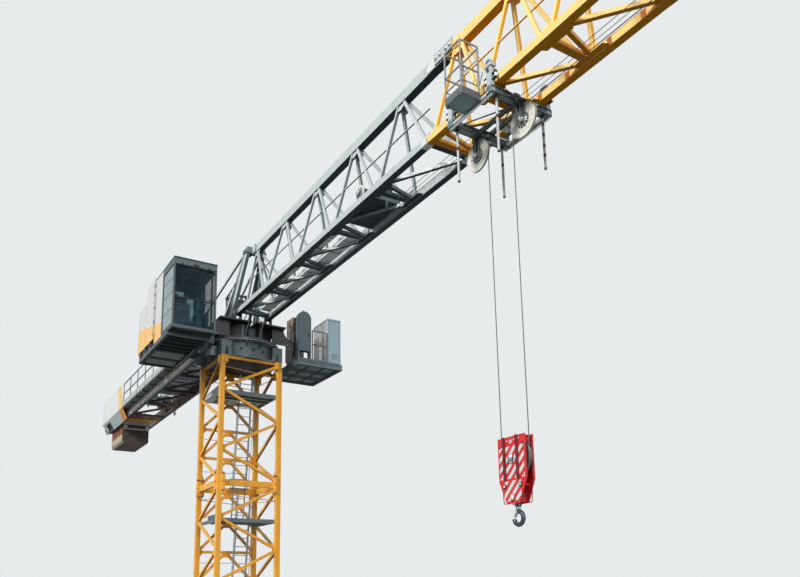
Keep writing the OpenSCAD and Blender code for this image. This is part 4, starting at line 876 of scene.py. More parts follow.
    b = Build("base_bolts", "tower", "zinc", "zinc", "tower")
    for sx, sy in CORNERS:
        for k in range(4):
            t = math.radians(90 * k)
            p = (sx * LEG + 0.28 * math.cos(t), sy * LEG + 0.28 * math.sin(t), 0.04)
            if abs(abs(p[0]) - abs(p[1])) < 0.15:
                continue
            b.bolt(p, Z, 0.03, 0.03, "zinc")
            b.rod(p, (p[0], p[1], 0.13), 0.018, "zinc")
        for t in (45, 135, 225, 315):
            u = Vector((math.cos(math.radians(t)), math.sin(math.radians(t)), 0))
            if abs(u.x * sx + u.y * sy) > 0.5:
                w = Vector((-u.y, u.x, 0))
                for e in (-0.14, 0.14):
                    b.plate([(0.0, 0.04), (0.0, 0.262), (0.08, 0.262), (0.19, 0.06), (0.19, 0.04)],
                            Vector((sx * LEG, sy * LEG, 0)) + w * e, w * (1 if e > 0 else -1), Z, 0.014,
                            "tower")
    b.done()


def slewing_pieces():
    b = Build("ring_bolts_below", "tower", "dark_paint", "steel", "turret", "black")
    ring = TOP + 0.54
    for u in circle(72, 0.5, True):
        x, y = u.x * 1.215, u.y * 1.215
        if min(abs(x), abs(y)) > 0.7:
            continue
        b.bolt((x, y, ring), (0, 0, -1), 0.017, 0.024, "steel", False)
        b.rod((x, y, ring - 0.02), (x, y, ring - 0.034), 0.01, "steel", 8)
    for u in circle(60, flat=True):
        b.bolt(u * 1.2995 + Vector((0, 0, ring + 0.026)), u, 0.011, 0.007, "steel", False)
    for u in circle(16, 0.5, True):
        if max(abs(u.x), abs(u.y)) > 0.9:
            b.plate([(1.118, 0.538), (1.118, 0.36), (1.15, 0.36), (1.27, 0.5), (1.27, 0.538)], (0, 0, TOP), u,
                    Z, 0.014, "turret")
    for face in range(4):
        for turn in (-20, 0, 20):
            t = math.radians(90 * face + turn)
            u = Vector((math.cos(t), math.sin(t), 0))
            b.ring(u * 1.113 + Vector((0, 0, TOP + 0.27)), u, 0.044, 0.06, 0.012, "turret", 20)
    b.block((0, 0, TOP + 0.0465), (2.11, 2.11, 0.011), "turret", 0.004)
    for s in (-1, 1):
        b.lathe((s * 0.45, -1.18, TOP + 0.235), Z, [(0.228, 0), (0.243, 0.004), (0.243, 0.028),
                (0.228, 0.032)], "turret", 28)
        for k in range(8):
            t = math.radians(180 + 22.5 * (k + 0.5))
            b.bolt((s * 0.45 + 0.236 * math.cos(t), -1.18 + 0.236 * math.sin(t), TOP + 0.267), Z, 0.009, 0.01,
                    "black", False)
    b.done()

    b = Build("drive_control_box", "tower", "white_paint", "white", "black")
    b.box((-0.9, -1.24, TOP + 0.05), (-0.7, -1.09, TOP + 0.4), "white", 0.012)
    b.box((-0.885, -1.246, TOP + 0.07), (-0.715, -1.238, TOP + 0.38), "white", 0.003)
    b.rod((-0.8, -1.165, TOP + 0.4), (-0.8, -1.165, TOP + 0.46), 0.022, "black")
    b.tube([(-0.8, -1.165, TOP + 0.44), (-0.79, -1.16, TOP + 0.52), (-0.7, -1.1, TOP + 0.525),
            (-0.62, -1.08, TOP + 0.45)], 0.014, "black")
    b.done()

    b = Build("turntable_details", "upperworks", "dark_paint", "turret", "steel", "black", "wire_dark")
    ring = TOP + 0.6405
    for u in circle(60, 0.5, True):
        b.bolt((u.x * 1.2, u.y * 1.2, ring), Z, 0.017, 0.022, "steel", False)
    b.ring((0, 0, ring - 0.0005), Z, 1.245, 1.275, 0.022, "turret", 72)
    for u in circle(10, 0.5, True):
        b.solid(u * 1.035 + Vector((0, 0, TOP + 0.9)), (u, (-u.y, u.x, 0), Z), (0.006, 0.045, 0.24), "turret",
                0.003)
    for s in (-1, 1):
        y = s * CHORD_Y
        for side in (-1, 1):
            p = (HEEL - 0.028, y + side * 0.108, JIB_Z + 0.08)
            b.cap(p, (0, side, 0), [(0.058, 0), (0.058, 0.01), (0.046, 0.016), (0.046, 0.03), (0.038, 0.036)],
                    "steel", 20)
            b.box((p[0] - 0.075, p[1] + side * 0.002, p[2] + 0.036),
                    (p[0] + 0.075, p[1] + side * 0.016, p[2] + 0.062), "black", 0.003)
            for dx in (-0.06, 0.06):
                b.bolt((p[0] + dx, p[1] + side * 0.016, p[2] + 0.049), (0, side, 0), 0.007, 0.008, "steel",
                        False)
        b.plate([(-0.3, 0), (0.06, 0), (0.06, 0.02), (-0.14, 0.16), (-0.24, 0.16), (-0.3, 0.03)],
                (HEEL - 0.13, s * 0.7, TURRET), X, Z, 0.02, "turret")
        for x in (-0.8, -0.3, 0.25):
            b.box((x, s * 1.02, TURRET - 0.001), (x + 0.1, s * 1.1, TURRET + 0.028), "turret", 0.005)
            b.bolt((x + 0.05, s * 1.06, TURRET + 0.028), Z, 0.014, 0.014, "steel")
    for x, y in ((0.62, -0.98), (0.62, 0.98), (-0.55, 0.98)):
        b.lathe((x, y, TURRET - 0.3), Z, [(0, 0), (0.1, 0), (0.12, 0.02), (0.12, 0.2), (0.1, 0.25)], "turret",
                20)
    for k, (y, r) in enumerate(((0.2, 0.018), (0.27, 0.014), (-0.16, 0.016), (-0.23, 0.012))):
        b.tube([(0.93, y, TOP + 0.68), (0.98, y, TOP + 0.72), (1.0, y + 0.02, TOP + 0.95),
                (1.14, y + 0.03, TOP + 1.1), (1.2, y + 0.04, TOP + 1.27), (1.1, y + 0.05, TOP + 1.33),
                (0.98, y + 0.05, TOP + 1.27)], r, "wire_dark" if k % 2 else "black", 10)
    b.block((0.9275, 0, TOP + 0.92), (0.085, 0.24, 0.28), "turret", 0.008)
    b.block((0.972, 0, TOP + 0.92), (0.008, 0.2, 0.24), "turret", 0.003)
    for x in (-0.9, 0.9):
        for s, reach in ((-1, 1.44), (1, 1.48)):
            for y, z in ((1.2, 0.7), (1.32, 0.72), (1.4, 0.6)):
                b.bolt((x + 0.025, s * y, TOP + z), X, 0.014, 0.014, "steel")
            b.box((x - 0.06, s * (reach + 0.018), TOP + 0.52), (x + 0.06, s * (reach - 0.002), TOP + 0.8),
                    "turret", 0.004)
    b.done()


def web_plate(b, x, s, top, outline, t, mat):
    """A plate in the jib's web on side s, at its foot or its top; the outline's y runs along the web."""
    foot, head = Vector((x, s * 0.505, WEB_Z)), Vector((x, s * 0.058, TOP_Z))
    up = unit(head - foot)
    b.plate(outline, head if top else foot, X, up, t, mat)


def chord_sleeve(b, s, a, z, mat):
    """Joint plates outside, inside and under the lower chord on side s, from x = a to z."""
    y0, y1 = s * CHORD_IN, s * CHORD_OUT
    b.box((a, y1, JIB_Z + 0.002), (z, y1 + s * 0.009, WEB_Z - 0.004), mat, 0.002)
    b.box((a, y0 - s * 0.009, JIB_Z + 0.002), (z, y0, WEB_Z - 0.004), mat, 0.002)
    b.box((a, y0, JIB_Z - 0.009), (z, y1, JIB_Z), mat, 0.002)


def jib_section(name, slot, mat, first, bay, count, lead, splice):
    b = Build(name, "upperworks", slot, mat, "steel", "black", "jib_mark")
    for i in range(count + 1):
        x = first + i * bay
        if 0 < i < count:
            outline = [(-0.27, 0.0), (0.27, 0.0), (0.2, 0.15), (0.07, 0.2), (-0.07, 0.2), (-0.2, 0.15)]
        elif i == 0:
            outline = [(0.06, 0.0), (0.32, 0.0), (0.26, 0.15), (0.1, 0.2)]
        else:
            outline = [(-0.32, 0.0), (-0.06, 0.0), (-0.1, 0.2), (-0.26, 0.15)]
        for s in (-1, 1):
            web_plate(b, x, s, False, outline, 0.016, mat)
            if i < count:
                web_plate(b, x + lead, s, True, [(-0.22, 0.0), (0.22, 0.0), (0.16, -0.14), (0.05, -0.19),
                        (-0.05, -0.19), (-0.16, -0.14)], 0.016, mat)
            if 0 < i < count:
                y = s * (CHORD_IN - 0.002)
                b.plate([(-0.17, -0.045), (0.45, -0.045), (0.4, 0.045), (-0.12, 0.045)], (x, y, JIB_Z + 0.08),
                        X, Z, 0.012, mat)
                b.plate([(-0.22, 0), (0.5, 0), (0.44, -s * 0.12), (-0.16, -s * 0.12)], (x, y, JIB_Z + 0.036),
                        X, Y, 0.008, mat)
            if i < count and mat == "jib_yellow":
                for dx in (bay * 0.3, bay * 0.72):
                    b.box((x + dx - 0.05, s * (CHORD_IN - 0.003), JIB_Z + 0.006),
                            (x + dx + 0.05, s * (CHORD_IN + 0.002), WEB_Z - 0.006), "jib_mark", 0.001)
    for x in splice:
        for s in (-1, 1):
            y0, y1 = s * CHORD_IN, s * CHORD_OUT
            for a in (x - 0.075, x + 0.004):
                chord_sleeve(b, s, a, a + 0.071, mat)
            b.rod((x, y1 + s * 0.016, JIB_Z + 0.08), (x, y1 - s * 0.002, JIB_Z + 0.08), 0.03, "steel", 16)
            b.rod((x, y0 - s * 0.04, JIB_Z + 0.08), (x, y0, JIB_Z + 0.08), 0.032, "steel", 16)
            for dz in (0.04, 0.12):
                b.bolt((x + 0.04, y0 - s * 0.009, JIB_Z + dz), (0, -s, 0), 0.009, 0.01, "black")
    b.done()


def jib_pieces():
    jib_section("jib_inner_details", "grey_paint", "grey", HEEL, INNER_BAY, 5, 0.45, ())
    jib_section("jib_outer_details", "jib_paint", "jib_yellow", JOINT, OUTER_BAY, 6, 0.45, (JOINT_2,))

    b = Build("jib_splice", "upperworks", "white_paint", "white", "steel", "black", "jib_yellow")
    for s in (-1, 1):
        y0, y1 = s * CHORD_IN, s * CHORD_OUT
        for a, z, key in ((JOINT - 0.2, JOINT - 0.09, "white"), (JOINT - 0.085, JOINT - 0.004, "white"),
                (JOINT + 0.004, JOINT + 0.07, "jib_yellow")):
            chord_sleeve(b, s, a, z, key)
        for dx in (-0.05, 0.05):
            b.rod((JOINT + dx, y0 - s * 0.045, JIB_Z + 0.08), (JOINT + dx, y0, JIB_Z + 0.08), 0.03, "steel",
                    16)
        b.rod((JOINT, y1 + s * 0.018, JIB_Z + 0.08), (JOINT, y1, JIB_Z + 0.08), 0.032, "steel", 16)
        y = s * 0.128
        for dx in (-0.26, -0.1, 0.1, 0.24):
            b.cap((JOINT + dx, y, TOP_Z + 0.165), (0, s, 0), [(0.042, 0), (0.042, 0.012), (0.032, 0.016),
                    (0.032, 0.032), (0.02, 0.04)], "steel", 16)
            b.rod((JOINT + dx, y + s * 0.02, TOP_Z + 0.09), (JOINT + dx, y + s * 0.02, TOP_Z + 0.24), 0.006,
                    "black", 8)
        b.plate([(-0.62, 0.03), (-0.3, 0.0), (-0.3, 0.27), (-0.4, 0.27), (-0.62, 0.16)],
                (JOINT, s * 0.1065, TOP_Z), X, Z, 0.012, "white")
        b.plate([(0.28, 0.02), (0.5, 0.05), (0.5, 0.15), (0.34, 0.23), (0.28, 0.23)],
                (JOINT, s * 0.1015, TOP_Z), X, Z, 0.012, "jib_yellow")
    b.block((JOINT - 0.16, 0, TOP_Z + 0.27275), (0.28, 0.2, 0.0245), "white", 0.006)
    for x in (JOINT - 0.16, JOINT + 0.14):
        b.tube([(x, -0.05, TOP_Z + 0.24), (x, -0.05, TOP_Z + 0.286), (x, 0.05, TOP_Z + 0.286),
                (x, 0.05, TOP_Z + 0.24)], 0.012, "black")
    b.done()

    b = Build("jib_walkway", "upperworks", "zinc", "sheet", "white", "zinc_dark", "black", "slate")
    for a, z in ((1.55, 3.1), (3.42, 5.25), (5.6, 7.42)):
        for y0, y1 in ((-0.43, -0.2), (0.06, 0.36)):
            b.box((a, y0, WEB_Z - 0.04), (z, y1, WEB_Z - 0.036), "sheet", 0.001)
            for y in (y0, y1):
                b.box((a, y - 0.004, WEB_Z - 0.038), (z, y + 0.004, WEB_Z + 0.002), "sheet", 0.001)
            x = a + 0.12
            while x < z - 0.05:
                b.box((x - 0.008, y0 + 0.004, WEB_Z - 0.05), (x + 0.008, y1 - 0.004, WEB_Z - 0.038), "slate",
                        0.002)
                x += 0.72
    b.box((1.5, -0.03, WEB_Z - 0.036), (7.6, 0.0, WEB_Z - 0.006), "white", 0.003)
    b.box((1.5, -0.03, WEB_Z - 0.006), (7.6, -0.024, WEB_Z + 0.03), "white", 0.002)
    for x in (2.1, 4.0, 6.3):
        b.block((x, -0.125, WEB_Z - 0.048), (0.2, 0.09, 0.024), "zinc_dark", 0.004)
        b.rod((x, -0.13, WEB_Z - 0.04), (x, -0.13, WEB_Z + 0.16), 0.018, "black")
    b.done()

    b = Build("trolley_winch_details", "upperworks", "grey_paint", "slate", "white", "steel", "black",
            "zinc_dark")
    x, z, deck = WINCH_X, WINCH_Z, TOP + 1.56
    b.box((x - 0.64, -0.36, deck + 0.005), (x - 0.14, 0.26, deck + 0.025), "zinc_dark", 0.004)
    b.box((x - 0.62, -0.3, deck + 0.03), (x - 0.42, -0.12, deck + 0.36), "white", 0.014)
    b.box((x - 0.6, -0.306, deck + 0.05), (x - 0.44, -0.299, deck + 0.34), "white", 0.003)
    b.box((x - 0.4, -0.22, deck + 0.03), (x - 0.27, -0.02, deck + 0.26), "black", 0.012)
    for k in range(7):
        b.ring((x + 0.17 + 0.045 * k, 0.13, z), X, 0.105, 0.124, 0.014, "slate", 24)
    b.cap((x + 0.509, 0.13, z), X, [(0.115, 0), (0.115, 0.05), (0.09, 0.07)], "black", 24)
    b.box((x + 0.22, 0.06, z + 0.1), (x + 0.34, 0.2, z + 0.15), "slate", 0.01)
    b.rod((x, -0.4, z), (x, -0.43, z), 0.07, "steel", 20)
    b.bolts(((x + 0.052 * u.x, -0.382, z + 0.052 * u.z) for u in circle(6)), (0, -1, 0), 0.008, 0.01, "black",
            False)
    b.bolts(((x + dx, y, deck) for dx in (-0.65, 0.6) for y in (-0.38, 0.38)), Z, 0.014, 0.016, "steel")
    b.tube([(x + 0.45, 0.13, z + 0.12), (x + 0.45, 0.1, z + 0.2), (x + 0.2, -0.02, z + 0.22),
            (x - 0.3, -0.14, z + 0.16), (x - 0.42, -0.2, z + 0.06)], 0.012, "black")
    b.done()

    b = Build("trolley_winch_wheel", "trolley_winch_drum", "white_paint", "white", "steel", "wire")
    for side, y in ((-1, -0.3455), (1, -0.0645)):
        b.ring((x, y, z), (0, side, 0), 0.168, 0.205, 0.014, "white", 36)
        b.spokes((x, y + side * 0.006, z), 0.105, (0.068, 0.018, 0.006), "white", 6, 0.9 / math.pi, 0.003)
        b.ring((x, y, z), (0, side, 0), 0.032, 0.062, 0.018, "steel", 24)
    for k in range(16):
        b.ring((x, -0.32 + 0.0145 * k, z), Y, 0.149, 0.1565, 0.011, "wire", 28)
    b.done()

    b = Build("head_details", "upperworks", "grey_paint", "slate", "steel", "black", "white", "dark",
            "rust_mark")
    hx, hz = HEEL + 0.08, TOP + 3.86
    for s in (-1, 1):
        for dx in (-0.13, 0.06, 0.22):
            b.cap((hx + dx, s * 0.132, hz - 0.14), (0, s, 0), [(0.044, 0), (0.044, 0.012), (0.034, 0.016),
                    (0.034, 0.034), (0.02, 0.042)], "steel", 16)
        b.box((hx - 0.19, s * 0.14, hz - 0.05), (hx + 0.06, s * 0.3, hz - 0.036), "slate", 0.003)
        for dx in (-0.16, -0.02):
            b.ring((hx + dx, s * 0.335, hz - 0.18), (0, s, 0), 0.02, 0.085, 0.03, "slate", 28)
            b.rod((hx + dx, s * 0.325, hz - 0.18), (hx + dx, s * 0.385, hz - 0.18), 0.022, "steel", 14)
        # legs beside the front ones, with their cross stays
        p0, p1 = Vector((-0.24, s * 0.5, TURRET)), Vector((hx - 0.16, s * 0.3, hz - 0.26))
        b.bar(p0, p1, 0.08, 0.08, "slate")
        q0, q1 = Vector((0.06, s * 0.5, TURRET)), Vector((hx, s * 0.26, hz - 0.28))
        for e, f in ((0.12, 0.28), (0.4, 0.56), (0.66, 0.8)):
            b.bar(p0.lerp(p1, e), q0.lerp(q1, f), 0.035, 0.035, "slate", c=0.003)
        b.box((-0.33, s * 0.4, TURRET), (-0.15, s * 0.6, TURRET + 0.03), "slate", 0.005)
        b.box((-0.08, s * 0.38, TURRET), (0.2, s * 0.62, TURRET + 0.03), "slate", 0.005)
        b.bolts(((px, s * y, TURRET + 0.03) for px in (-0.3, -0.18, -0.05, 0.17) for y in (0.58, 0.42)), Z,
                0.012, 0.014, "steel")
    # pulley frame behind the head
    b.block((-0.38, 0, TOP + 2.51), (0.08, 0.92, 0.1), "dark", 0.006)
    for s in (-1, 1):
        b.bar((-0.38, s * 0.42, TOP + 2.5), (-0.3, s * 0.4, TURRET), 0.05, 0.05, "dark")
        b.bar((-0.38, s * 0.42, TOP + 2.54), (0.5, s * 0.385, TOP + 2.8), 0.04, 0.04, "dark")
        for e in (0.12, 0.3):
            b.ring((-0.38, s * e - 0.02, TOP + 2.66), Y, 0.024, 0.11, 0.04, "white" if s < 0 else "slate", 30)
            b.rod((-0.38, s * e - 0.035, TOP + 2.66), (-0.38, s * e + 0.035, TOP + 2.66), 0.024, "steel", 14)
            for w in (-0.035, 0.03):
                b.box((-0.41, s * e + w, TOP + 2.55), (-0.35, s * e + w + 0.008, TOP + 2.72), "dark", 0.002)
    b.ring((PULLEY_X, -0.03, PULLEY_Z), Y, 0.15, 0.2, 0.055, "black", 40)
    for u in circle(6):
        b.bar((PULLEY_X, -0.0025, PULLEY_Z), (PULLEY_X + 0.16 * u.x, -0.0025, PULLEY_Z + 0.16 * u.z), 0.012,
                0.03, "black", Y, 0.002)
    b.rod((PULLEY_X, -0.07, PULLEY_Z), (PULLEY_X, 0.07, PULLEY_Z), 0.03, "steel", 16)
    for s in (-1, 1):
        b.plate([(-0.05, 0.24), (0.05, 0.24), (0.035, -0.05), (-0.035, -0.05)],
                (PULLEY_X, s * 0.075, PULLEY_Z), X, Z, 0.01, "dark")
    for y, dz in ((-0.3, 0.0), (0.2, 0.02)):
        b.ring((PULLEY_X, y - 0.02, TOP + 2.4 + dz), Y, 0.02, 0.075, 0.036, "white", 26)
        b.rod((PULLEY_X, y - 0.035, TOP + 2.4 + dz), (PULLEY_X, y + 0.035, TOP + 2.4 + dz), 0.02, "steel", 12)
        b.box((-0.455, y - 0.035, TOP + 2.38 + dz), (-0.425, y - 0.027, TOP + 2.5), "dark", 0.002)
    p0, p1 = Vector((-0.1, -0.06, TURRET + 0.02)), Vector((-0.36, 0.1, TOP + 2.5))
    b.rod(p0, p1, 0.03, "rust_mark", 14)
    for k in range(6):
        q = p0.lerp(p1, 0.18 + 0.13 * k)
        b.cap(q, p1 - p0, [(0.044, 0), (0.044, 0.022)], "white" if k % 2 else "steel", 16)
    b.box((-0.5, -0.2, TOP + 1.26), (0.0, 0.14, TOP + 1.62), "dark", 0.02)
    for k in range(6):
        b.box((-0.46 + 0.075 * k, -0.204, TOP + 1.32), (-0.425 + 0.075 * k, -0.196, TOP + 1.56), "slate",
                0.002)
    b.tube([(-0.05, 0.08, TOP + 1.6), (0.1, 0.16, TOP + 1.95), (0.35, 0.22, TOP + 2.5),
            (0.8, 0.22, TOP + 3.2), (hx - 0.12, 0.16, TOP + 3.5)], 0.018, "black", 8)
    b.tube([(-0.25, -0.1, TOP + 1.62), (-0.3, -0.2, TOP + 2.0), (-0.32, -0.3, TOP + 2.46)], 0.014, "black", 8)
    # cable along the first webs
    b.tube([(hx + 0.1, 0.2, TOP + 3.42), (1.6, 0.3, TOP + 2.9), (1.75, 0.38, TOP + 2.2),
            (1.72, 0.44, WEB_Z + 0.1)], 0.02, "black", 8)
    b.done()


def trolley_pieces():
    x0, beam = TROLLEY, CROSS_Z
    b = Build("trolley_frame_details", "trolley", "grey_paint", "slate", "steel", "black", "pale", "white")
    for e in (-1, 1):
        x = x0 + e * CROSS_X
        for fx in (-0.0625, 0.0625):
            for z in (beam + 0.0045, beam + 0.1155):
                b.box((x + fx * 0.936, -0.715, z - 0.009), (x + fx * 1.3, 0.715, z + 0.009), "slate", 0.003)
        for y in (-0.5, -0.22, 0.22, 0.5):
            for fx in (-1, 1):
                b.box((x + fx * 0.06, y - 0.006, beam + 0.012), (x + fx * 0.078, y + 0.006, beam + 0.108),
                        "slate", 0.002)
        for s in (-1, 1):
            b.box((x - 0.075, s * 0.722, beam - 0.01), (x + 0.075, s * 0.734, beam + 0.135), "slate", 0.003)
            b.bolts(((x + dx, s * 0.734, beam + dz) for dz in (0.02, 0.1) for dx in (-0.05, 0.05)), (0, s, 0),
                    0.01, 0.01, "steel", False)
            b.box((x - 0.055, s * 0.722, beam + 0.14), (x + 0.055, s * 0.73, WEB_Z + 0.12), "pale", 0.003)
            for side in (-1, 1):
                b.box((x + side * 0.05, s * 0.645, beam + 0.12), (x + side * 0.058, s * 0.728, WEB_Z + 0.13),
                        "pale", 0.002)
            # roller box, with its end caps and side guide roller
            b.box((x - 0.075, s * 0.6, WEB_Z + 0.205), (x + 0.075, s * 0.73, WEB_Z + 0.228), "slate", 0.005)
            b.rod((x, s * 0.724, WEB_Z + 0.07), (x, s * 0.746, WEB_Z + 0.07), 0.04, "slate", 20)
            b.rod((x, s * 0.744, WEB_Z + 0.07), (x, s * 0.757, WEB_Z + 0.07), 0.018, "black", 12)
            for side in (-1, 1):
                b.rod((x + side * 0.13, s * 0.662, WEB_Z - 0.115),
                        (x + side * 0.13, s * 0.662, WEB_Z - 0.035), 0.03, "white", 18)
                b.box((x + side * 0.05, s * 0.65, WEB_Z - 0.028),
                        (x + side * 0.165, s * 0.705, WEB_Z - 0.012), "slate", 0.003)
                b.box((x + side * 0.05, s * 0.65, WEB_Z - 0.138),
                        (x + side * 0.165, s * 0.705, WEB_Z - 0.122), "slate", 0.003)
            b.box((x - 0.07, s * 0.62, WEB_Z + 0.228), (x + 0.045, s * 0.72, WEB_Z + 0.3), "pale", 0.01)
            b.box((x - 0.062, s * 0.7205, WEB_Z + 0.238), (x + 0.037, s * 0.724, WEB_Z + 0.29), "slate",
                    0.001)
    for s in (-1, 1):
        b.rod((x0 - 0.62, s * 0.695, beam - 0.035), (x0 + 0.62, s * 0.695, beam - 0.035), 0.024, "steel", 14)
        b.rod((x0 - 0.66, s * 0.12, beam - 0.03), (x0 + 0.66, s * 0.12, beam - 0.03), 0.02, "slate", 14)
        b.rod((x0 - CROSS_X, s * 0.62, beam + 0.03), (x0 + 0.3, s * 0.16, beam + 0.03), 0.014, "slate", 12)
        for e in (-1, 1):
            b.bar((x0 + e * CROSS_X, s * 0.16, beam - 0.02), (x0 + e * 0.63, s * 0.075, beam - 0.3), 0.03,
                    0.03, "slate", c=0.003)
    b.done()

    b = Build("trolley_sheave_hangers", "trolley", "dark_paint", "dark", "steel", "black", "slate")
    z = SHEAVE_Z
    for e in (-1, 1):
        x = x0 + e * SHEAVE_X
        for s in (-1, 1):
            y = s * 0.06
            b.plate([(-0.09, 0.36), (0.09, 0.36), (0.06, -0.03), (0.03, -0.075), (-0.03, -0.075),
                    (-0.06, -0.03)], (x, y, z), X, Z, 0.012, "dark")
            b.plate([(-0.015, 0.34), (0.015, 0.34), (0.012, 0.05), (-0.012, 0.05)], (x, s * 0.075, z), X, Z,
                    0.02, "slate")
            b.cap((x, s * 0.066, z), (0, s, 0), [(0.055, 0), (0.055, 0.014), (0.04, 0.018), (0.04, 0.042),
                    (0.03, 0.052)], "steel", 20)
            b.bolts(((x + 0.047 * u.x, s * 0.08, z + 0.047 * u.z) for u in circle(6)), (0, s, 0), 0.006,
                    0.006, "black", False)
        # rope guard bars round each sheave
        for t in (20, 160):
            a = math.radians(t)
            p = (x + GUARD_R * math.cos(a), -0.06, z + GUARD_R * math.sin(a))
            b.rod(p, (p[0], 0.06, p[2]), 0.009, "steel", 10)
        # wire guards beside each rim
        for s in (-1, 1):
            turns = (math.radians(t) for t in (20, 34, 48, 62, 118, 132))
            b.tube([(x + GUARD_R * math.cos(t), s * 0.062, z + GUARD_R * math.sin(t)) for t in turns], 0.008,
                    "black", 6)
    b.done()

    b = Build("trolley_rope_gear", "trolley", "black_trim", "black", "dark", "steel", "white")
    fx = x0 + CROSS_X
    for y, r, h in ((-0.42, 0.055, 0.03), (-0.36, 0.042, 0.05), (-0.27, 0.062, 0.03), (-0.2, 0.035, 0.05),
            (0.1, 0.05, 0.03), (0.18, 0.038, 0.05)):
        b.ring((fx - 0.115, y, beam + 0.155), Y, 0.014, r, h, "black", 22)
        for u in circle(8):
            tx, tz = fx - 0.115 + (r - 0.004) * u.x, beam + 0.155 + (r - 0.004) * u.z
            b.box((tx - 0.007, y + 0.004, tz - 0.007), (tx + 0.007, y + h - 0.004, tz + 0.007), "dark", 0.002)
    for y, y1 in ((-0.46, -0.06), (0.06, 0.26)):
        b.rod((fx - 0.115, y, beam + 0.155), (fx - 0.115, y1, beam + 0.155), 0.013, "steel", 12)
    for y in (-0.45, -0.1, 0.25):
        b.block((fx - 0.0975, y, beam + 0.14), (0.075, 0.016, 0.08), "dark", 0.003)
    b.box((fx - 0.03, -0.18, beam + 0.121), (fx + 0.08, -0.055, beam + 0.165), "dark", 0.006)
    for y in (-0.32, -0.14):
        b.rod((fx + 0.085, y, beam + 0.04), (fx + 0.085, y + 0.1, beam + 0.04), 0.042, "black", 18)
        b.rod((fx + 0.085, y - 0.012, beam + 0.04), (fx + 0.085, y + 0.112, beam + 0.04), 0.014, "steel", 12)
    b.tube([(fx + 0.09, -0.22, beam + 0.02), (fx + 0.12, -0.16, beam - 0.06), (fx + 0.1, -0.06, beam - 0.1),
            (fx + 0.09, 0.04, beam - 0.02), (fx + 0.08, 0.1, beam + 0.03)], 0.012, "black", 8)
    # spring buffer arm between the sheaves
    b.rod((x0 + 0.05, -0.1, beam + 0.04), (x0 + 0.05, -0.1, beam - 0.52), 0.018, "dark", 12)
    b.cap((x0 + 0.05, -0.1, beam - 0.53), (0, 0, -1), [(0.034, 0), (0.034, 0.06), (0.02, 0.08)], "black", 14)
    b.bar((x0 + 0.05, -0.1, beam - 0.3), (x0 + 0.42, -0.1, beam - 0.02), 0.02, 0.02, "dark", c=0.003)
    b.bar((x0 + 0.3, 0.1, beam - 0.34), (x0 + 0.05, 0.1, beam - 0.02), 0.02, 0.02, "dark", c=0.003)
    b.rod((x0 + 0.05, -0.13, beam - 0.36), (x0 + 0.05, 0.13, beam - 0.36), 0.014, "steel", 10)
    b.rod((x0 - 0.3, -0.14, beam - 0.045), (x0 - 0.3, 0.14, beam - 0.045), 0.02, "dark", 12)
    b.box((x0 - 0.18, 0.16, beam - 0.01), (x0 + 0.02, 0.36, beam + 0.09), "white", 0.012)
    b.tube([(x0 - 0.1, 0.2, beam + 0.08), (x0 - 0.1, 0.1, beam + 0.1), (x0 - 0.3, -0.1, beam + 0.09),
            (x0 - 0.5, -0.3, beam + 0.12)], 0.01, "black", 8)
    b.done()

    b = Build("trolley_bumper_rods", "trolley", "zinc", "black", "rust_mark")
    for e in (-1, 1):
        for s in (-1, 1):
            x, y = x0 + e * CROSS_X, s * 0.56
            z0 = beam - 1.11
            b.rod((x, y, z0), (x, y, z0 + 0.035), 0.029, "black", 14)
            b.ring((x, y, beam - 0.06), Z, 0.026, 0.04, 0.06, "black", 16)
            for k, h in enumerate((0.24, 0.44, 0.66, 0.88)):
                if (e > 0 and s > 0) or k % 3 == 2:
                    b.ring((x, y, z0 + h), Z, 0.0252, 0.0268, 0.07, "rust_mark", 16)
    b.done()

    b = Build("basket_details", "trolley", "zinc", "zinc_dark", "steel", "black", "zinc", "panel")
    bx0, bx1, by0, by1 = x0 - 0.14, x0 + 0.34, -1.17, -0.74
    z = beam
    for p, q in (((bx0, by0), (bx1, by0)), ((bx0, by1), (bx1, by1)), ((bx0, by0), (bx0, by1)),
            ((bx1, by0), (bx1, by1))):
        d = Vector((q[0] - p[0], q[1] - p[1], 0))
        n = Vector((-d.y, d.x, 0)).normalized() * 0.004
        b.box((p[0] - abs(n.x), p[1] - abs(n.y), z + 0.006), (q[0] + abs(n.x), q[1] + abs(n.y), z + 0.14),
                "zinc_dark", 0.002)
    b.box((bx0 + 0.012, by0 + 0.012, z - 0.008), (bx1 - 0.012, by1 - 0.012, z - 0.0005), "panel", 0.002)
    border(b, 2, z - 0.008, -0.006, (bx0 + 0.004, by0 + 0.004), (bx1 - 0.004, by1 - 0.004), 0.028,
            "zinc_dark", 0.002)
    for p in ((bx0 + 0.03, by0 + 0.03), (bx1 - 0.03, by0 + 0.03), (bx1 - 0.03, by1 - 0.03)):
        b.rod((p[0], p[1], z - 0.05), (p[0], p[1], z - 0.012), 0.026, "black", 16)
    b.rod((bx0 + 0.015, by1 - 0.02, z + 0.82), (bx1 - 0.015, by1 - 0.02, z + 0.82), 0.013, "steel")
    b.rod((bx0 + 0.015, by0 + 0.015, z + 0.28), (bx1 - 0.015, by0 + 0.015, z + 0.28), 0.011, "zinc")
    for xx in (bx0 + 0.015, bx1 - 0.015):
        b.rod((xx, by0 + 0.015, z + 0.28), (xx, by1 - 0.02, z + 0.28), 0.011, "zinc")
        b.rod((xx, by0 + 0.02, z + 0.56), (xx, by1 - 0.02, z + 1.06), 0.01, "zinc")
        b.rod((xx, -0.735, z + 0.3), (xx, -0.735, z + 1.06), 0.012, "zinc")
        b.bar((xx, -0.76, z + 0.02), (xx, -0.66, z + 0.02), 0.035, 0.012, "steel")
    b.rod((bx0, -0.735, z + 1.06), (bx1, -0.735, z + 1.06), 0.012, "zinc")
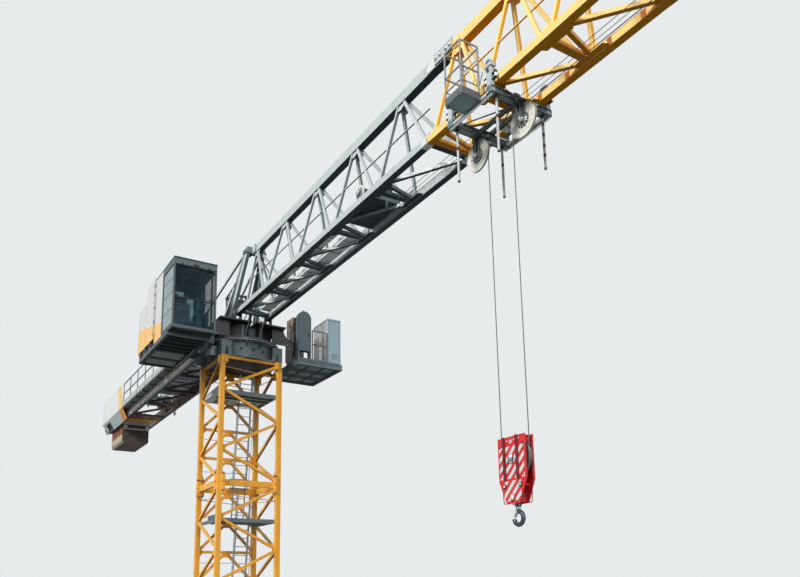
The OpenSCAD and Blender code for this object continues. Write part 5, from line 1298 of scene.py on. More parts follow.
    b.rod((bx0, -0.735, z + 0.3), (bx0, -0.655, WEB_Z + 0.22), 0.012, "zinc")
    b.rod((bx1, -0.735, z + 0.3), (bx1, -0.655, WEB_Z + 0.22), 0.012, "zinc")
    b.done()

    z = SHEAVE_Z
    for place, x in (("rear", x0 - SHEAVE_X), ("front", x0 + SHEAVE_X)):
        b = Build(place + "_sheave_details", place + "_rope_sheave", "sheave_white", "ivory", "steel", "dark")
        for s in (-1, 1):
            b.spokes((x, s * 0.0155, z), 0.165, (0.078, 0.007, 0.0045), "ivory", 12)
            b.ring((x, s * 0.0115, z), (0, s, 0), 0.07, 0.09, 0.014, "steel", 30)
            b.ring((x, s * 0.0115, z), (0, s, 0), 0.0905, 0.15, 0.008, "dark", 36)
            b.bolts(((x + 0.08 * u.x, s * 0.0255, z + 0.08 * u.z) for u in circle(6, 0.5)), (0, s, 0), 0.005,
                    0.004, "dark", False)
        b.done()


def block_pieces():
    x, top = TROLLEY, BLOCK
    b = Build("hook_block_details", "hook_block", "red_paint", "red_plain", "steel", "black", "white",
            "red_bright")
    for s in (-1, 1):
        y = s * 0.105
        b.lathe((x, y + s * 0.03, top - 0.37), (0, s, 0), [(0, 0), (0.06, 0), (0.06, 0.008), (0.048, 0.016),
                (0.04, 0.03), (0.022, 0.04), (0, 0.043)], "steel", 24)
        b.box((x - 0.075, y, top - 0.475), (x + 0.075, y + s * 0.018, top - 0.435), "steel", 0.004)
        for dx in (-0.05, 0.05):
            b.bolt((x + dx, y + s * 0.018, top - 0.455), (0, s, 0), 0.01, 0.01, "black")
        for dx in (-0.2, 0.2):
            b.ring((x + dx, y, top - 0.86), (0, s, 0), 0.026, 0.044, 0.015, "black", 24)
            b.lathe((x + dx, y + s * 0.012, top - 0.86), (0, s, 0),
                    [(0, 0), (0.024, 0), (0.022, 0.008), (0, 0.01)], "white", 18)
            b.bolt((x + dx * 1.45, y, top - 0.16), (0, s, 0), 0.015, 0.014, "black")
            b.bolt((x + dx * 1.42, y, top - 0.7), (0, s, 0), 0.008, 0.008, "black")
        b.lathe((x, y + s * 0.02, top - 1.06), (0, s, 0), [(0, 0), (0.05, 0), (0.05, 0.006), (0.04, 0.012),
                (0, 0.014)], "white", 28)
        b.ring((x, y + s * 0.018, top - 1.06), (0, s, 0), 0.0505, 0.062, 0.012, "red_bright", 28)
        b.box((x - 0.035, y, top - 0.13), (x + 0.035, y + s * 0.01, top - 0.06), "steel", 0.003)
        for dx in (-0.085, 0.085):
            b.cap((x + dx, y, top - 0.075), (0, s, 0), [(0.02, 0), (0.02, 0.012), (0.012, 0.02)], "steel", 14)
        b.bolt((x + 0.2, y, top - 0.06), (0, s, 0), 0.012, 0.012, "steel")
        # wire loops beside the foot
        for e in (-1, 1):
            b.tube([(x + e * 0.315, s * 0.09, top - 0.8), (x + e * 0.262, s * 0.095, top - 0.92),
                    (x + e * 0.25, s * 0.095, top - 1.13), (x + e * 0.225, s * 0.095, top - 1.165),
                    (x + e * 0.15, s * 0.09, top - 1.155)], 0.008, "red_plain", 8)
        # folded cheek edges
        for e in (-1, 1):
            b.box((x + e * 0.328, s * 0.08, top - 0.76), (x + e * 0.3395, s * 0.06, top - 0.01), "red_plain",
                    0.003)
    for dx, dz in ((0.305, 0.2), (0.31, 0.6)):
        b.rod((x - dx, -0.104, top - dz), (x - dx, 0.104, top - dz), 0.014, "steel", 12)
    b.rod((x, 0.0, top - 0.07), (x, 0.0, top + 0.045), 0.022, "black", 14)
    b.block((x, 0, top - 0.07), (0.12, 0.16, 0.04), "red_plain", 0.005)
    for e in (-1, 1):
        b.rod((x + e * 0.2, -0.11, top - 0.86), (x + e * 0.2, 0.11, top - 0.86), 0.024, "red_plain", 16)
    b.block((x, 0, top - 1.02), (0.26, 0.158, 0.02), "steel", 0.003)
    b.done()

    b = Build("hook_details", "hook", "hook_steel", "hook", "steel", "black")
    z = top - 1.17
    b.cap((x, 0, z - 0.012), (0, 0, -1), [(0.066, 0), (0.066, 0.012), (0.058, 0.02)], "hook", 24)
    b.cap((x, 0, z - 0.06), (0, 0, -1), [(0.05, 0), (0.04, 0.03)], "steel", 24)
    b.rod((x - 0.005, -0.052, z - 0.125), (x - 0.005, 0.052, z - 0.125), 0.014, "steel", 12)
    latch = ((x - 0.028, TOP - 6.215), (x - 0.1, TOP - 6.33))
    for s in (-1, 1):
        b.bar((latch[0][0], s * 0.03, latch[0][1]), (latch[1][0], s * 0.018, latch[1][1]), 0.006, 0.03,
                "steel", c=0.002)
    b.bar((latch[0][0] - 0.02, 0, latch[0][1] - 0.032), (latch[1][0], 0, latch[1][1]), 0.034, 0.006, "steel",
            c=0.002)
    b.rod((latch[0][0], -0.042, latch[0][1]), (latch[0][0], 0.042, latch[0][1]), 0.011, "black", 10)
    b.done()


def fall_pieces():
    """The two falls of the hoist rope, in place of the hidden hoist_ropes part; the piece is left on no body.
    """
    low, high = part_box("hoist_ropes")
    r = (high[1] - low[1]) / 2
    b = Build("hoist_falls", "trolley", "wire", "wire")
    for x in (low[0] + r, high[0] - r):
        b.rod((x, 0, low[2]), (x, 0, high[2]), r, "wire", 14)
    piece = b.done(rides=False)
    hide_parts("hoist_ropes")
    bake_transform(piece)


def block_sheave_pieces():
    b = Build("block_sheave_details", "block_sheave", "zinc", "zinc", "steel")
    x, z = TROLLEY, TOP - 5.3
    for s in (-1, 1):
        b.spokes((x, s * 0.0145, z), 0.185, (0.098, 0.007, 0.0035), "zinc", 8)
        b.ring((x, s * 0.0115, z), (0, s, 0), 0.079, 0.105, 0.01, "steel", 30)
    b.done()


def border(b, k, at, t, lo, hi, w, mat, c=0.003):
    """Four bars round a rectangle across axis k, between lo and hi on the other two axes."""
    i, j = [n for n in range(3) if n != k]
    for p, q in ((lo, (hi[0], lo[1] + w)), ((lo[0], hi[1] - w), hi),
            ((lo[0], lo[1] + w), (lo[0] + w, hi[1] - w)), ((hi[0] - w, lo[1] + w), (hi[0], hi[1] - w))):
        a, z = [0, 0, 0], [0, 0, 0]
        a[k], z[k] = min(at, at + t), max(at, at + t)
        a[i], a[j], z[i], z[j] = p[0], p[1], q[0], q[1]
        b.box(a, z, mat, c)


def grating(b, x0, y0, x1, y1, z, step, mat, r=0.003):
    """A woven floor grating: thin bars both ways."""
    n = max(2, round((x1 - x0) / step))
    for i in range(n + 1):
        x = x0 + (x1 - x0) * i / n
        b.box((x - r, y0, z), (x + r, y1, z + 2 * r), mat, 0.001)
    n = max(2, round((y1 - y0) / step))
    for i in range(n + 1):
        y = y0 + (y1 - y0) * i / n
        b.box((x0, y - r, z + 1.5 * r), (x1, y + r, z + 3.5 * r), mat, 0.001)


def eye_plate(b, x, back, face, z, height, lift):
    """A plate with four bolts on its face, where a platform hangs from the turret's arms."""
    b.box((x - 0.1, back, z), (x + 0.1, face, z + height), "slate", 0.004)
    b.bolts(((x + dx, face, z + dz) for dz in (lift, lift + 0.09) for dx in (-0.06, 0.06)),
            (0, face - back, 0), 0.012, 0.014, "steel")


def cab_pieces():
    front, y0, y1, z0, z1 = 1.6, -2.83, -1.46, 0.45, 2.7
    b = Build("cab_frames", "upperworks", "dark_paint", "cab_dark", "black", "white", "slate", "rubber",
            "screen", "cab_frame", up=TOP)
    border(b, 0, front, 0.012, (y0 + 0.002, z0 + 0.004), (y1 - 0.002, z1 - 0.15), 0.036, "cab_frame")
    b.box((front, y0 - 0.004, z1 - 0.205), (front + 0.016, y1 + 0.004, z1 - 0.006), "cab_frame", 0.004)
    b.box((front - 0.06, y0 - 0.01, z1 - 0.008), (front + 0.045, y1 + 0.01, z1 + 0.016), "black", 0.004)
    border(b, 0, front - 0.01, 0.012, (y0 + 0.046, z0 + 0.085), (y1 - 0.046, z1 - 0.205), 0.02, "black")
    b.box((front - 0.012, y0 + 0.05, 1.395), (front + 0.012, y1 - 0.05, 1.44), "rubber", 0.004)
    for s, y in ((-1, y0), (1, y1)):
        border(b, 1, y, s * 0.008, (0.425, 0.53), (1.6, z1 - 0.2), 0.03, "cab_dark")
        b.box((1.572, y, z0), (1.602, y + s * 0.01, z1), "cab_frame", 0.003)
        for z in (1.08, 1.62, 2.08):
            b.box((0.455, y + s * 0.001, z - 0.005), (1.57, y + s * 0.005, z + 0.005), "cab_dark", 0.001)
        b.box((-0.48, y, z1 - 0.012), (1.6, y + s * 0.012, z1 + 0.01), "cab_dark", 0.003)
    # wiper with its motor and arms
    wy, wz = -2.14, z1 - 0.17
    b.block((front + 0.037, wy, wz - 0.015), (0.046, 0.16, 0.09), "rubber", 0.01)
    for d in (0.0, 0.055):
        b.bar((front + 0.045, wy + d, wz - 0.01), (front + 0.03, wy - 0.42 + d, wz - 0.56), 0.022, 0.014,
                "rubber", c=0.002)
    b.bar((front + 0.026, wy - 0.46, wz - 0.26), (front + 0.02, wy - 0.37, wz - 0.86), 0.014, 0.03, "rubber",
            c=0.002)
    for y in (y0 + 0.25, y1 - 0.25):
        b.block((front + 0.0425, y, z1 - 0.2275), (0.065, 0.09, 0.085), "rubber", 0.008)
        b.lathe((front + 0.075, y, z1 - 0.22), X, [(0, 0), (0.024, 0), (0.032, 0.03), (0.028, 0.034),
                (0, 0.03)], "screen", 18)
        b.ring((front + 0.104, y, z1 - 0.22), X, 0.027, 0.036, 0.01, "black", 18)
    # roof: lifting knobs, hatch and drip edges
    for x in (-0.34, 0.34, 0.92, 1.36):
        for y in (y0 + 0.045, y1 - 0.045):
            b.lathe((x, y, z1), Z, [(0, 0), (0.036, 0), (0.03, 0.02), (0.018, 0.03), (0.026, 0.06),
                    (0, 0.07)], "black", 16)
    b.box((0.2, -2.45, z1), (0.95, -1.85, z1 + 0.03), "white", 0.008)
    b.box((0.24, -2.41, z1 + 0.03), (0.91, -1.89, z1 + 0.045), "slate", 0.006)
    b.rod((0.3, -1.82, z1 + 0.02), (0.85, -1.82, z1 + 0.02), 0.014, "black", 10)
    # floor under the operator's feet: dark glass grille
    for i in range(9):
        y = y0 + 0.12 + i * 0.142
        b.block((1.3875, y, z0 - 0.0065), (0.375, 0.014, 0.011), "cab_dark", 0.002)
    for x in (1.28, 1.42):
        b.box((x - 0.006, y0 + 0.06, z0 - 0.016), (x + 0.006, y1 - 0.06, z0 - 0.001), "black", 0.002)
    border(b, 2, z0, -0.018, (1.185, y0 + 0.01), (1.6, y1 - 0.01), 0.04, "slate")
    # white rear side: door outline and its hinges, on the far side as well
    for y, s in ((y0, -1), (y1, 1)):
        for x in (-0.4, 0.36):
            b.box((x - 0.005, y, z0 + 0.1), (x + 0.005, y + s * 0.003, z1 - 0.1), "slate", 0.001)
    for z in (z0 + 0.3, z0 + 1.1, z0 + 1.9):
        b.rod((-0.395, y1 + 0.01, z), (-0.395, y1 + 0.01, z + 0.1), 0.012, "black", 10)
    b.box((0.28, y1, z0 + 0.98), (0.32, y1 + 0.03, z0 + 1.14), "black", 0.006)
    b.done()

    b = Build("cab_interior", "upperworks", "black_trim", "cab_dark", "black", "screen", "slate", "steel",
            "daylight", "seat", up=TOP)
    for x in (0.15, 0.62, 1.05, 1.38):
        b.box((x - 0.035, y0 + 0.05, z1 - 0.12), (x + 0.035, y1 - 0.05, z1 - 0.045), "cab_dark", 0.006)
    b.box((-0.42, y0 + 0.05, z0 + 0.065), (-0.4, y1 - 0.05, z1 - 0.06), "slate", 0.008)
    for ya, yz, za, zz in ((y0 + 0.1, y0 + 0.52, z1 - 0.85, z1 - 0.2),
            (y1 - 0.36, y1 - 0.12, z0 + 0.25, z1 - 0.42), (y0 + 0.62, y1 - 0.46, z1 - 0.72, z1 - 0.26)):
        b.box((-0.398, ya, za), (-0.39, yz, zz), "daylight", 0.002)
        border(b, 0, -0.39, 0.014, (ya - 0.03, za - 0.03), (yz + 0.03, zz + 0.03), 0.035, "cab_dark")
    for y in (y0 + 0.35, -2.145, y1 - 0.35):
        b.block((0.57, y, z1 - 0.0625), (1.86, 0.04, 0.025), "cab_dark", 0.004)
    b.tube([(0.62, -2.4, z0 + 0.72), (0.7, -2.38, z0 + 0.92), (0.66, -2.2, z0 + 1.0),
            (0.55, -2.05, z0 + 0.95)], 0.018, "steel", 8)
    b.tube([(0.72, -1.95, z0 + 0.62), (0.84, -1.93, z0 + 0.8), (0.8, -1.88, z0 + 0.9)], 0.02, "steel", 8)
    b.box((0.95, -2.34, z0 + 0.12), (1.18, -1.95, z0 + 0.2), "seat", 0.02)
    # foot rest, pedals and front console with its lamps
    b.box((1.36, y0 + 0.15, z0 + 0.065), (1.52, y1 - 0.15, z0 + 0.11), "slate", 0.008)
    for y in (-2.35, -2.15, -1.95):
        b.block((1.38, y, z0 + 0.13), (0.16, 0.1, 0.02), "steel", 0.005)
        b.rod((1.44, y, z0 + 0.1), (1.4, y, z0 + 0.2), 0.012, "black", 8)
    b.bar((1.44, y0 + 0.1, z0 + 0.7), (1.44, y0 + 0.1, z0 + 0.08), 0.05, 0.05, "cab_dark")
    b.solid((1.4, y0 + 0.17, z0 + 0.98), ((0.94, 0.3, 0.16), (-0.3, 0.95, 0), (-0.16, -0.05, 0.98)),
            (0.016, 0.1, 0.14), "black", 0.008)
    b.solid((1.382, y0 + 0.165, z0 + 0.978), ((0.94, 0.3, 0.16), (-0.3, 0.95, 0), (-0.16, -0.05, 0.98)),
            (0.002, 0.088, 0.122), "screen", 0.001)
    b.bar((1.44, y0 + 0.12, z0 + 0.68), (1.41, y0 + 0.16, z0 + 0.88), 0.025, 0.025, "black")
    for s in (-1, 1):
        y = -2.145 + s * 0.38
        b.block((0.59, y, z0 + 0.715), (0.46, 0.15, 0.03), "slate", 0.008)
        b.rod((0.76, y, z0 + 0.72), (0.8, y, z0 + 0.9), 0.013, "black", 10)
        b.lathe((0.8, y, z0 + 0.88), (0.2, 0, 1), [(0, 0), (0.022, 0.0), (0.03, 0.04), (0.026, 0.09),
                (0, 0.105)], "black", 16)
        for k in range(3):
            b.lathe((0.5 + 0.06 * k, y + 0.04, z0 + 0.73), Z, [(0, 0), (0.012, 0), (0.01, 0.018), (0, 0.02)],
                    "steel", 12)
        b.box((0.48, y - 0.05, z0 + 0.735), (0.66, y - 0.02, z0 + 0.75), "steel", 0.004)
    # head rest, belt rail and sun blind
    b.box((0.24, -2.28, z0 + 1.33), (0.31, -2.01, z0 + 1.5), "black", 0.03)
    for y in (-2.22, -2.07):
        b.rod((0.275, y, z0 + 1.28), (0.275, y, z0 + 1.36), 0.01, "steel", 8)
    b.rod((1.5, y0 + 0.08, z1 - 0.15), (1.5, y1 - 0.08, z1 - 0.15), 0.026, "cab_dark", 14)
    b.bar((1.46, y1 - 0.1, z1 - 0.35), (1.46, y1 - 0.1, z0 + 0.1), 0.05, 0.04, "cab_dark")
    b.bar((0.4, y1 - 0.09, z1 - 0.1), (0.4, y1 - 0.09, z0 + 0.1), 0.06, 0.05, "cab_dark")
    b.box((0.62, y1 - 0.14, z0 + 0.35), (1.1, y1 - 0.06, z0 + 0.85), "slate", 0.02)
    b.rod((0.6, y1 - 0.12, z0 + 1.15), (1.45, y1 - 0.12, z0 + 1.15), 0.014, "steel", 10)
    b.done()

    b = Build("cab_rear_details", "upperworks", "white_paint", "white", "pale", "slate", "black", "rubber",
            up=TOP)
    b.box((-0.598, y0 + 0.004, 0.7), (-0.482, y0 + 0.04, z1 - 0.01), "rubber", 0.004)
    b.box((-0.56, y0 - 0.008, 0.72), (-0.52, y0 + 0.006, z1 - 0.03), "pale", 0.003)
    for z in (0.8, 1.25, 1.75, 2.2, 2.52):
        b.box((-0.625, y0 - 0.01, z - 0.03), (-0.455, y0 + 0.002, z + 0.05), "slate", 0.003)
        for dx in (-0.605, -0.475):
            b.bolt((dx, y0 - 0.01, z + 0.01), (0, -1, 0), 0.008, 0.007, "black")
    for x in (-0.66, -1.62, -2.55):
        b.box((x - 0.003, y0 - 0.003, 0.74), (x + 0.003, y0, (2.24 if x < -1.6 else 2.78)), "slate", 0.001)
    for z in (0.95, 2.0):
        b.lathe((-0.72, y0, z), (0, -1, 0), [(0, 0), (0.022, 0), (0.02, 0.008), (0, 0.01)], "black", 14)
    # air vents in the housing's inner side and back
    border(b, 1, y1, 0.012, (-2.35, 1.25), (-1.75, 1.95), 0.03, "slate")
    for k in range(9):
        b.solid((-2.05, y1 + 0.01, 1.31 + 0.073 * k), (X, (0, 0.8, 0.6), (0, -0.6, 0.8)), (0.27, 0.004, 0.03),
                "pale", 0.002)
    border(b, 0, -2.6, -0.012, (-2.55, 0.95), (-1.75, 2.05), 0.03, "slate")
    for k in range(13):
        b.solid((-2.61, -2.15, 1.02 + 0.08 * k), LOUVRE, (0.365, 0.004, 0.033), "pale", 0.002)
    b.box((-2.45, -2.6, 2.29), (-1.95, -1.75, 2.35), "white", 0.012)
    for k in range(5):
        b.rod((-2.35 + 0.08 * k, -2.5, 2.352), (-2.35 + 0.08 * k, -1.85, 2.352), 0.01, "slate", 8)
    b.box((-1.35, -2.75, 2.83), (-0.7, -1.55, 2.845), "white", 0.004)
    b.done()

    b = Build("cab_platform_details", "upperworks", "dark_paint", "dark", "slate", "black", "steel",
            "zinc_dark", "cab_dark", "fascia", "panel", up=TOP)
    outer, inner, low = -2.85, -1.56, 0.3
    for y, s in ((outer, -1), (inner, 1)):
        for z in (low, low + 0.136):
            b.box((-2.3, y, z), (1.18, y - s * 0.002 + (0.016 if s > 0 else 0), z + 0.014), "slate", 0.0008)
        for x in (-1.9, -1.2, -0.5, 0.2, 0.8):
            b.box((x - 0.006, y - s * 0.002, low + 0.014), (x + 0.006, y + max(0, s) * 0.012, low + 0.136),
                    "slate", 0.0008)
    # slanting slats under the cab floor, then two framed floor panels
    for x in (-0.4, -0.1, 0.25, 0.62, 0.94):
        b.solid((x, (outer + inner) / 2, low + 0.07), (Y, (0.86, 0, 0.5), (-0.5, 0, 0.86)),
                (0.56, 0.105, 0.006), "cab_dark", 0.002)
        b.box((x + 0.08, outer + 0.085, low + 0.09), (x + 0.094, inner - 0.085, low + 0.136), "fascia", 0.002)
        b.box((x - 0.1, outer + 0.085, low + 0.002), (x - 0.088, inner - 0.085, low + 0.02), "fascia", 0.002)
    for a, z in ((-2.22, -1.5), (-1.42, -0.6)):
        border(b, 2, low + 0.03, 0.022, (a + 0.05, outer + 0.13), (z - 0.05, inner - 0.13), 0.035, "slate")
        b.box((a + 0.085, outer + 0.165, low + 0.046), (z - 0.085, inner - 0.165, low + 0.052), "panel",
                0.001)
        grating(b, a + 0.09, outer + 0.17, z - 0.09, inner - 0.17, low + 0.036, 0.055, "zinc_dark", 0.0025)
        for y in (outer + 0.1, inner - 0.1):
            for x in (a + 0.1, (a + z) / 2, z - 0.1):
                b.block((x, y, low + 0.035), (0.06, 0.05, 0.03), "black", 0.004)
    b.plate([(1.18, 0.14), (1.02, -0.2), (0.52, -0.26), (0.36, -0.02), (0.36, 0.0)], (0, inner + 0.012, low),
            X, Z, 0.014, "slate")
    b.bar((0.98, inner + 0.018, low - 0.16), (0.42, inner + 0.018, low - 0.02), 0.02, 0.04, "dark", c=0.003)
    for x in (-2.26, -1.62, -0.98):
        for y, s in ((outer + 0.045, -1), (inner - 0.045, 1)):
            b.block((x, y, 0.457), (0.15, 0.084, 0.014), "black", 0.003)
            b.block((x, y, 0.693), (0.15, 0.084, 0.014), "black", 0.003)
            for dx in (-0.058, 0.058):
                b.bolt((x + dx, y + s * 0.03, 0.464), Z, 0.01, 0.012, "steel")
        b.bar((x + 0.3, outer + 0.03, 0.46), (x + 0.06, outer + 0.03, 0.67), 0.02, 0.035, "black", c=0.003)
    # eye plates that hang the platform from the turret's arms
    for x in (-0.9, 0.9):
        eye_plate(b, x, inner - 0.004, inner + 0.016, low - 0.02, 0.19, 0.05)
    b.tube([(0.2, inner - 0.1, low + 0.02), (-0.3, inner - 0.12, low - 0.03), (-0.9, inner - 0.1, low - 0.02),
            (-1.6, inner - 0.12, low - 0.04), (-2.2, inner - 0.1, low + 0.02)], 0.016, "black", 8)
    b.done()


def service_pieces():
    y0, y1, x0, x1, z = 1.56, 3.25, -1.0, 1.25, 0.2
    b = Build("service_platform_details", "upperworks", "grey_paint", "slate", "dark", "zinc_dark", "black",
            "steel", "panel", up=TOP)
    for e, x in ((1, x1), (-1, x0)):
        for dz in (0.0, -0.186):
            b.box((x, y0, z + dz - 0.014), (x + e * 0.014, y1, z + dz), "slate", 0.003)
    # punched kick plate along the front edge
    b.box((x1 - 0.012, y0 + 0.02, z), (x1 - 0.002, y1 - 0.62, z + 0.055), "zinc_dark", 0.002)
    for k in range(16):
        b.box((x1 + 0.001, y0 + 0.1 + 0.095 * k, z - 0.1), (x1 + 0.004, y0 + 0.15 + 0.095 * k, z - 0.07),
                "dark", 0.001)
        b.ring((x1 + 0.0005, y0 + 0.1 + 0.095 * k, z - 0.05), X, 0.01, 0.018, 0.004, "slate", 10)
    # underside: cross ribs, a framed floor panel in the middle, plain sheets on both sides
    for a, c in ((x0 + 0.08, -0.28), (-0.2, 0.44), (0.52, x1 - 0.08)):
        border(b, 2, 0.02, 0.024, (a + 0.035, y0 + 0.12), (c - 0.035, y1 - 0.12), 0.045,
                "slate" if a > -0.5 else "dark")
        b.box((a + 0.085, y0 + 0.17, 0.05), (c - 0.085, y1 - 0.17, 0.056), "panel", 0.001)
        grating(b, a + 0.09, y0 + 0.18, c - 0.09, y1 - 0.18, 0.04, 0.06, "zinc_dark", 0.0025)
    for y in (2.05, 2.62):
        b.box((x0 + 0.09, y - 0.02, 0.012), (x1 - 0.09, y + 0.02, 0.05), "dark", 0.004)
    for x in (-0.9, 0.9):
        eye_plate(b, x, y0, y0 - 0.016, 0.02, 0.17, 0.04)
    for y in (2.16, 2.64):
        b.block((x1 - 0.055, y, z + 0.006), (0.09, 0.09, 0.012), "slate", 0.003)
        for dx in (-0.08, -0.03):
            b.bolt((x1 + dx, y + (0.03 if y > 2.4 else -0.03), z + 0.012), Z, 0.008, 0.01, "steel")
    b.lathe((x1 - 0.045, 2.215, z + 0.59), X, [(0, 0), (0.026, 0), (0.032, 0.02), (0.026, 0.045), (0, 0.05)],
            "black", 16)
    b.tube([(0.9, y0 + 0.1, z + 0.02), (0.9, y0 + 0.05, z + 0.14), (0.85, y0 - 0.02, z + 0.2),
            (0.8, y0 - 0.12, z + 0.16)], 0.022, "black", 8)
    for k in range(3):
        b.rod((x0 + 0.15 + 0.06 * k, y0 + 0.15, z + 0.02), (x0 + 0.15 + 0.06 * k, y1 - 0.1, z + 0.02), 0.014,
                "black", 8)
    b.done()

    b = Build("service_cabinet_details", "upperworks", "grey_paint", "slate", "steel", "black", "pale",
            "dark", up=TOP)
    dx, dy = 1.17, 1.835
    # dome cabinet: seam, cap ring, knob, plinth
    b.block((dx - 0.0795, dy, z + 1.499), (0.171, 0.506, 0.014), "slate", 0.003)
    b.lathe((dx - 0.085, dy, z + 1.745), Z, [(0, 0), (0.035, 0), (0.028, 0.02), (0.018, 0.03), (0.03, 0.055),
            (0.022, 0.08), (0, 0.085)], "steel", 18)
    b.box((dx - 0.002, dy - 0.235, z + 0.36), (dx + 0.004, dy - 0.225, z + 1.48), "dark", 0.001)
    b.box((dx - 0.002, dy + 0.225, z + 0.36), (dx + 0.004, dy + 0.235, z + 1.48), "dark", 0.001)
    b.block((dx - 0.082, dy, z + 0.34), (0.176, 0.508, 0.03), "slate", 0.004)
    for s in (-1, 1):
        b.block((dx - 0.08, dy + s * 0.215, z + 0.007), (0.184, 0.09, 0.014), "slate", 0.003)
    b.box((dx, dy + 0.14, z + 0.85), (dx + 0.022, dy + 0.17, z + 0.99), "black", 0.006)
    # machine: vents, pipes, motor end
    for k in range(12):
        b.solid((0.768, 1.8, z + 0.8 + 0.065 * k), LOUVRE, (0.15, 0.003, 0.026), "dark", 0.001)
    border(b, 0, 0.76, 0.01, (1.62, z + 0.74), (1.98, z + 1.6), 0.025, "dark")
    b.cap((0.76, 1.8, z + 0.38), X, [(0.15, 0), (0.15, 0.05), (0.12, 0.07), (0.05, 0.075)], "pale", 28)
    b.tube([(0.8, 1.66, z + 0.38), (0.86, 1.62, z + 0.55), (0.86, 1.62, z + 0.7), (0.78, 1.64, z + 0.74)],
            0.022, "black", 8)
    b.tube([(0.5, 1.585, z + 1.3), (0.55, 1.54, z + 1.42), (0.62, 1.52, z + 1.25), (0.64, 1.53, z + 0.4),
            (0.64, 1.56, z + 0.05)], 0.018, "black", 8)
    b.box((0.3, 1.56, z + 0.6), (0.7, 1.585, z + 1.2), "dark", 0.008)
    # tall cabinet: cap lip, door seams, hinges, handles, feet
    a, c, p, q, top = 0.08, 1.18, 2.725, 3.225, z + 1.65
    b.box((a - 0.012, p - 0.012, top - 0.045), (c + 0.014, q + 0.012, top + 0.006), "pale", 0.006)
    for x in (a + (c - a) / 3, a + 2 * (c - a) / 3):
        b.box((x - 0.003, p - 0.003, z + 0.12), (x + 0.003, p, top - 0.06), "dark", 0.001)
    for x in (a + 0.06, a + (c - a) / 3 + 0.05, c - 0.06):
        for zz in (z + 0.35, z + 1.3):
            b.rod((x, p - 0.01, zz), (x, p - 0.01, zz + 0.08), 0.01, "steel", 10)
    b.box((0.6, p - 0.022, z + 0.8), (0.63, p, z + 0.95), "black", 0.005)
    b.box((c, p + 0.03, z + 0.06), (c + 0.003, p + 0.036, top - 0.06), "dark", 0.001)
    b.box((c, q - 0.036, z + 0.06), (c + 0.003, q - 0.03, top - 0.06), "dark", 0.001)
    for zz in (top - 0.075, z + 0.055):
        b.box((c, p + 0.02, zz), (c + 0.004, q - 0.02, zz + 0.008), "dark", 0.001)
    for k in range(6):
        b.solid((c + 0.004, (p + q) / 2, z + 0.22 + 0.04 * k), LOUVRE, (0.12, 0.003, 0.014), "pale", 0.001)
    b.box((a - 0.004, p - 0.004, z), (c + 0.004, q + 0.004, z + 0.035), "dark", 0.004)
    b.box((0.2, 2.85, top + 0.006), (0.55, 3.1, top + 0.05), "pale", 0.01)
    b.done()


